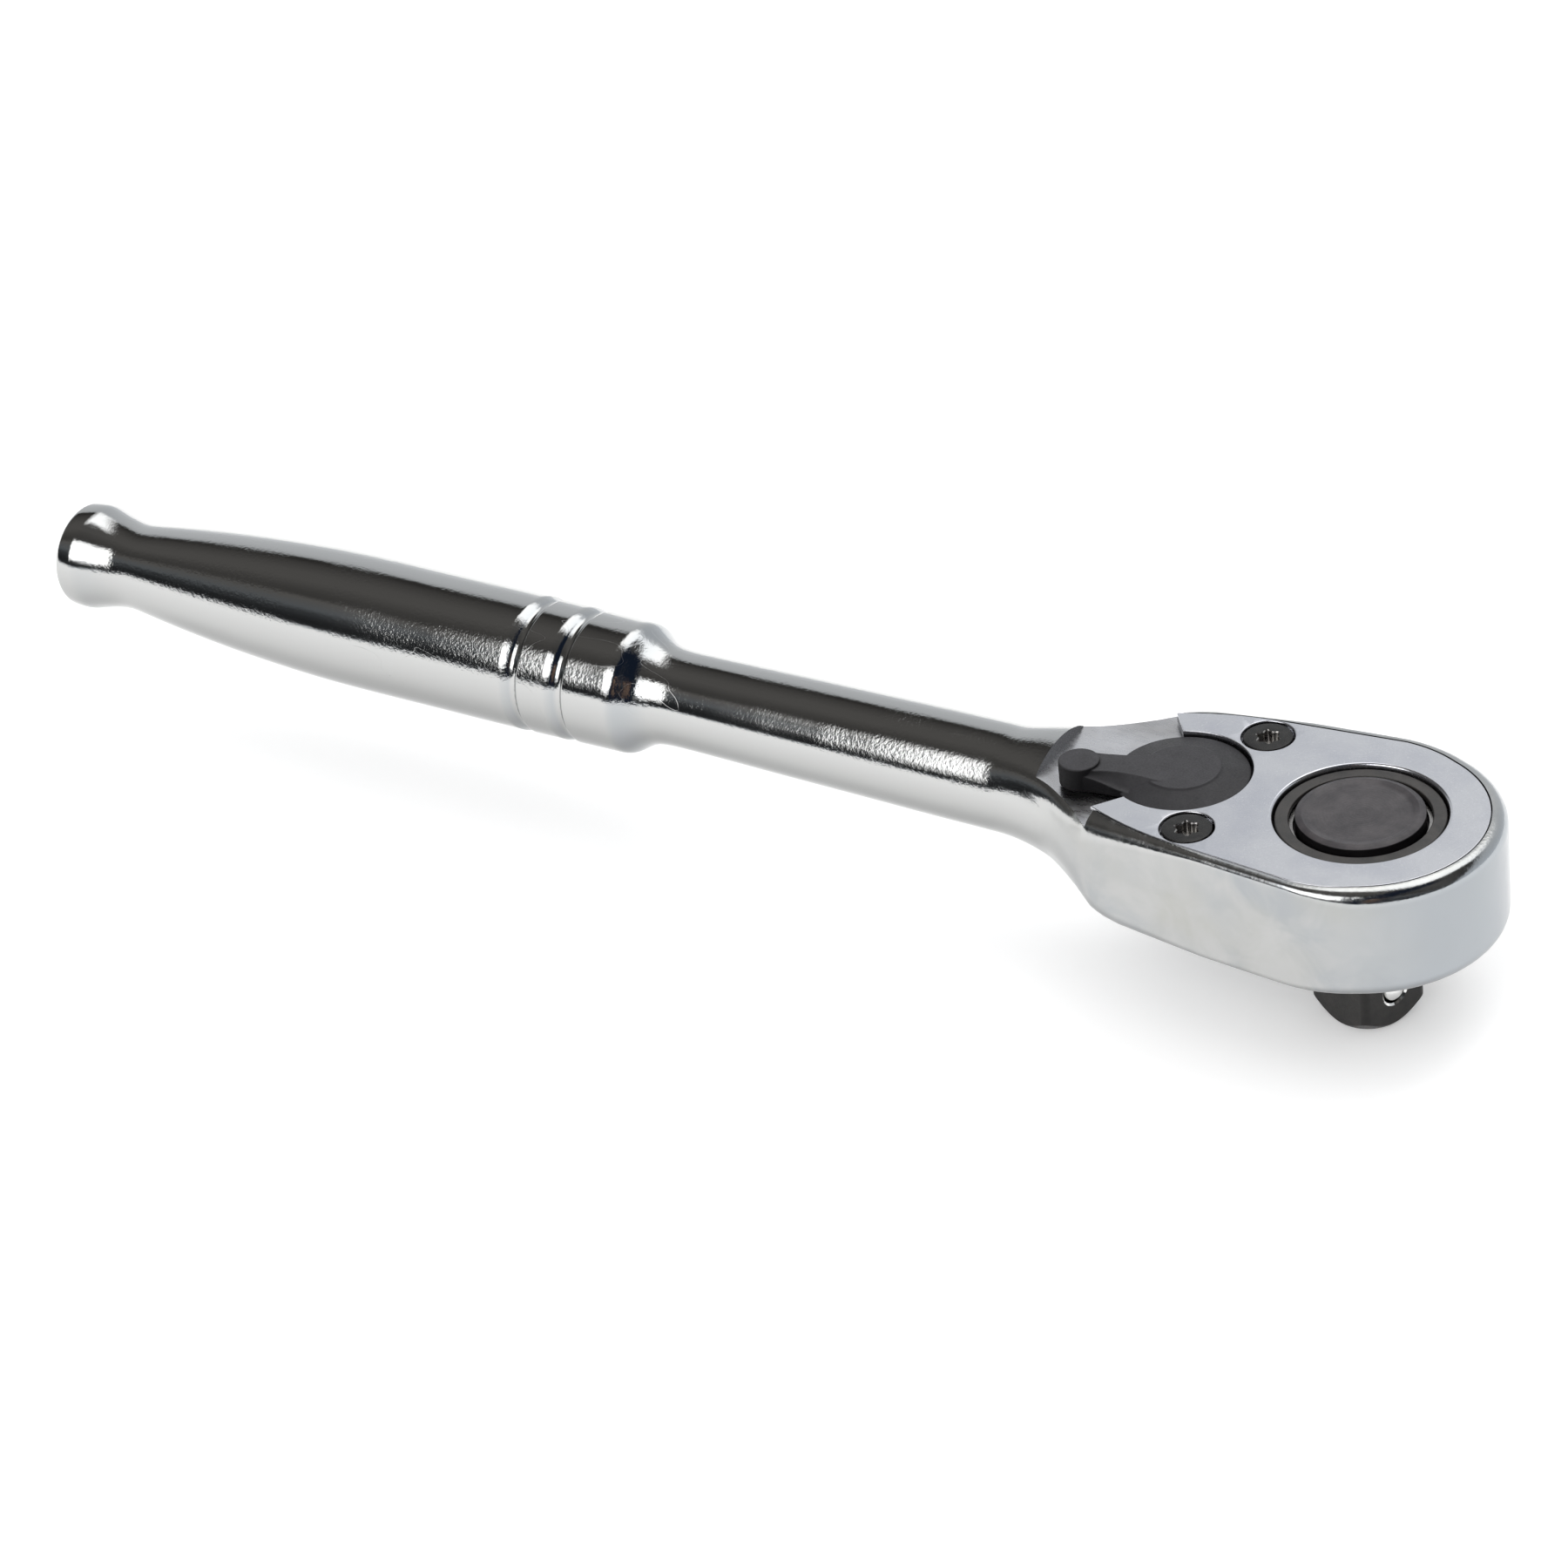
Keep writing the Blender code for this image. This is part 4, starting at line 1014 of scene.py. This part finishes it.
studio = {"floorRadius": 4.0, "floorColour": (0.86, 0.86, 0.86), "floorGlow": 0.25, "overhead": 2.15,
          "overheadSpread": 100.0, "overheadTilt": (12.0, 8.0),
          # how rough the edges of the patches are, in degrees and along X
          "unevenScale": 6.0, "unevenAngle": 24.0, "unevenAcross": 0.10,
          # angle from straight up towards -Y in degrees, brightness
          "bands": [(-180, 0.65), (-91, 0.88), (-75, 0.72), (-52, 0.66), (-44, 0.56), (-40, 0.045),
                    (-35, 0.04), (-27, 0.075), (-8, 0.115), (8, 0.12), (26, 0.075), (34, 0.065), (40, 0.14),
                    (56, 0.13), (63, 0.05), (78, 0.02), (86, 0.03), (89, 0.9), (180, 0.95)],
          # patches, bright or dark, by the same angle and by how far the way leans along X
          "patches": [
              {"angle": (-14.0, 110.0), "soft": 4.0, "across": (0.24, 0.66),
               "softAcross": 0.08, "glow": (0.012, 0.019, 0.034)},
              {"angle": (32.0, 78.0), "soft": 11.0, "across": (-0.50, 0.22),
               "softAcross": 0.04, "glow": (3.0, 3.0, 3.0)},
              {"angle": (-52.0, -4.0), "soft": 10.0, "across": (-0.42, 0.38),
               "softAcross": 0.12, "glow": (2.0, 2.0, 2.0)},
              {"angle": (44.0, 80.0), "soft": 3.0, "across": (0.42, 0.53),
               "softAcross": 0.02, "glow": (0.26, 0.17, 0.12)},
          ]}


def window(tree, value, low, high, soft):
    # one between the two limits, fading to nothing over the soft distance inside each
    return maths(tree, 'MULTIPLY', remap(tree, value, low, low + soft), remap(tree, value, high, high - soft))


def makeWorld():
    world = bpy.data.worlds.new("studioRoom")
    bpy.context.scene.world = world
    world.use_nodes = True
    tree = world.node_tree
    tree.nodes.clear()
    way = addNode(tree, "TexCoord").outputs["Generated"]
    parts = addNode(tree, "SeparateXYZ", inputs={"Vector": way}).outputs
    toFront = maths(tree, 'MULTIPLY', parts["Y"], -1.0)
    angle = maths(tree, 'MULTIPLY', maths(tree, 'ARCTAN2', toFront, parts["Z"]), 180 / math.pi)
    ramp = addNode(tree, "ValToRGB", inputs={"Fac": remap(tree, angle, -180.0, 180.0)})
    stops = ramp.color_ramp.elements
    while len(stops) > 1:
        stops.remove(stops[-1])
    for i, (degrees, light) in enumerate(studio["bands"]):
        stop = stops[0] if i == 0 else stops.new((degrees + 180) / 360)
        stop.position = (degrees + 180) / 360
        blue = 1.06 if light > 0.3 else (0.92 if degrees < 50 else 1.15)
        stop.color = (light, light * (1 + blue) / 2, light * blue, 1.0)
    total = ramp.outputs[0]
    uneven = maths(tree, 'SUBTRACT', noise(tree, way, studio["unevenScale"], 2.0), 0.5)
    waveAngle = maths(tree, 'ADD', angle, maths(tree, 'MULTIPLY', uneven, studio["unevenAngle"]))
    waveAcross = maths(tree, 'ADD', parts["X"], maths(tree, 'MULTIPLY', uneven, studio["unevenAcross"]))
    for patch in studio["patches"]:
        lit = maths(tree, 'MULTIPLY', window(tree, waveAngle, *patch["angle"], patch["soft"]),
                    window(tree, waveAcross, *patch["across"], patch["softAcross"]))
        total = addNode(tree, "Mix", {"data_type": 'RGBA'},
                        {0: lit, 6: total, 7: (*patch["glow"], 1.0)}).outputs[2]
    shade = addNode(tree, "Background", inputs={"Color": total, "Strength": 1.0})
    out = addNode(tree, "OutputWorld")
    tree.links.new(shade.outputs[0], out.inputs[0])


def makeFloor():
    outline = ring((0, 0), studio["floorRadius"] / mm, 96)
    floor = newPiece("paleFloor", prismMesh("paleFloor", outline, -1.0, 0.0))
    finish, tree, shader = newFinish("paleFloor", studio["floorColour"], 0.0, 0.9)
    shader.inputs["Specular IOR Level"].default_value = 0.0
    shader.inputs["Emission Color"].default_value = (1.0, 1.0, 1.0, 1.0)
    shader.inputs["Emission Strength"].default_value = studio["floorGlow"]
    floor.data.materials.append(finish)


def makeLights():
    lamp = bpy.data.lights.new("overhead", 'SUN')
    lamp.energy = studio["overhead"]
    lamp.angle = math.radians(studio["overheadSpread"])
    light = bpy.data.objects.new("overhead", lamp)
    bpy.context.scene.collection.objects.link(light)
    light.rotation_euler = (*[math.radians(tilt) for tilt in studio["overheadTilt"]], 0.0)
    light.visible_glossy = False


view = {"azimuth": 34.53, "elevation": 31.72, "roll": -6.5, "distance": 549.9, "target": (-70.24, 0.0, 27.4),
        "lens": 103.98, "shift": (-0.0326, -0.0616)}


def makeCamera():
    data = bpy.data.cameras.new("camera")
    camera = bpy.data.objects.new("camera", data)
    bpy.context.scene.collection.objects.link(camera)
    data.lens = view["lens"]
    data.sensor_width = 36.0
    data.shift_x, data.shift_y = view["shift"]
    data.clip_start, data.clip_end = 0.01, 50.0
    a, e = math.radians(view["azimuth"]), math.radians(view["elevation"])
    back = Vector((math.sin(a) * math.cos(e), -math.cos(a) * math.cos(e), math.sin(e)))
    camera.location = (Vector(view["target"]) + back * view["distance"]) * mm
    camera.rotation_euler = (-back).to_track_quat('-Z', 'Y').to_euler()
    camera.rotation_euler.rotate_axis('Z', math.radians(view["roll"]))
    bpy.context.scene.camera = camera


makeWorld()
makeFloor()
makeLights()
makeCamera()
bpy.context.scene.view_settings.view_transform = 'Standard'
print("studio ready")
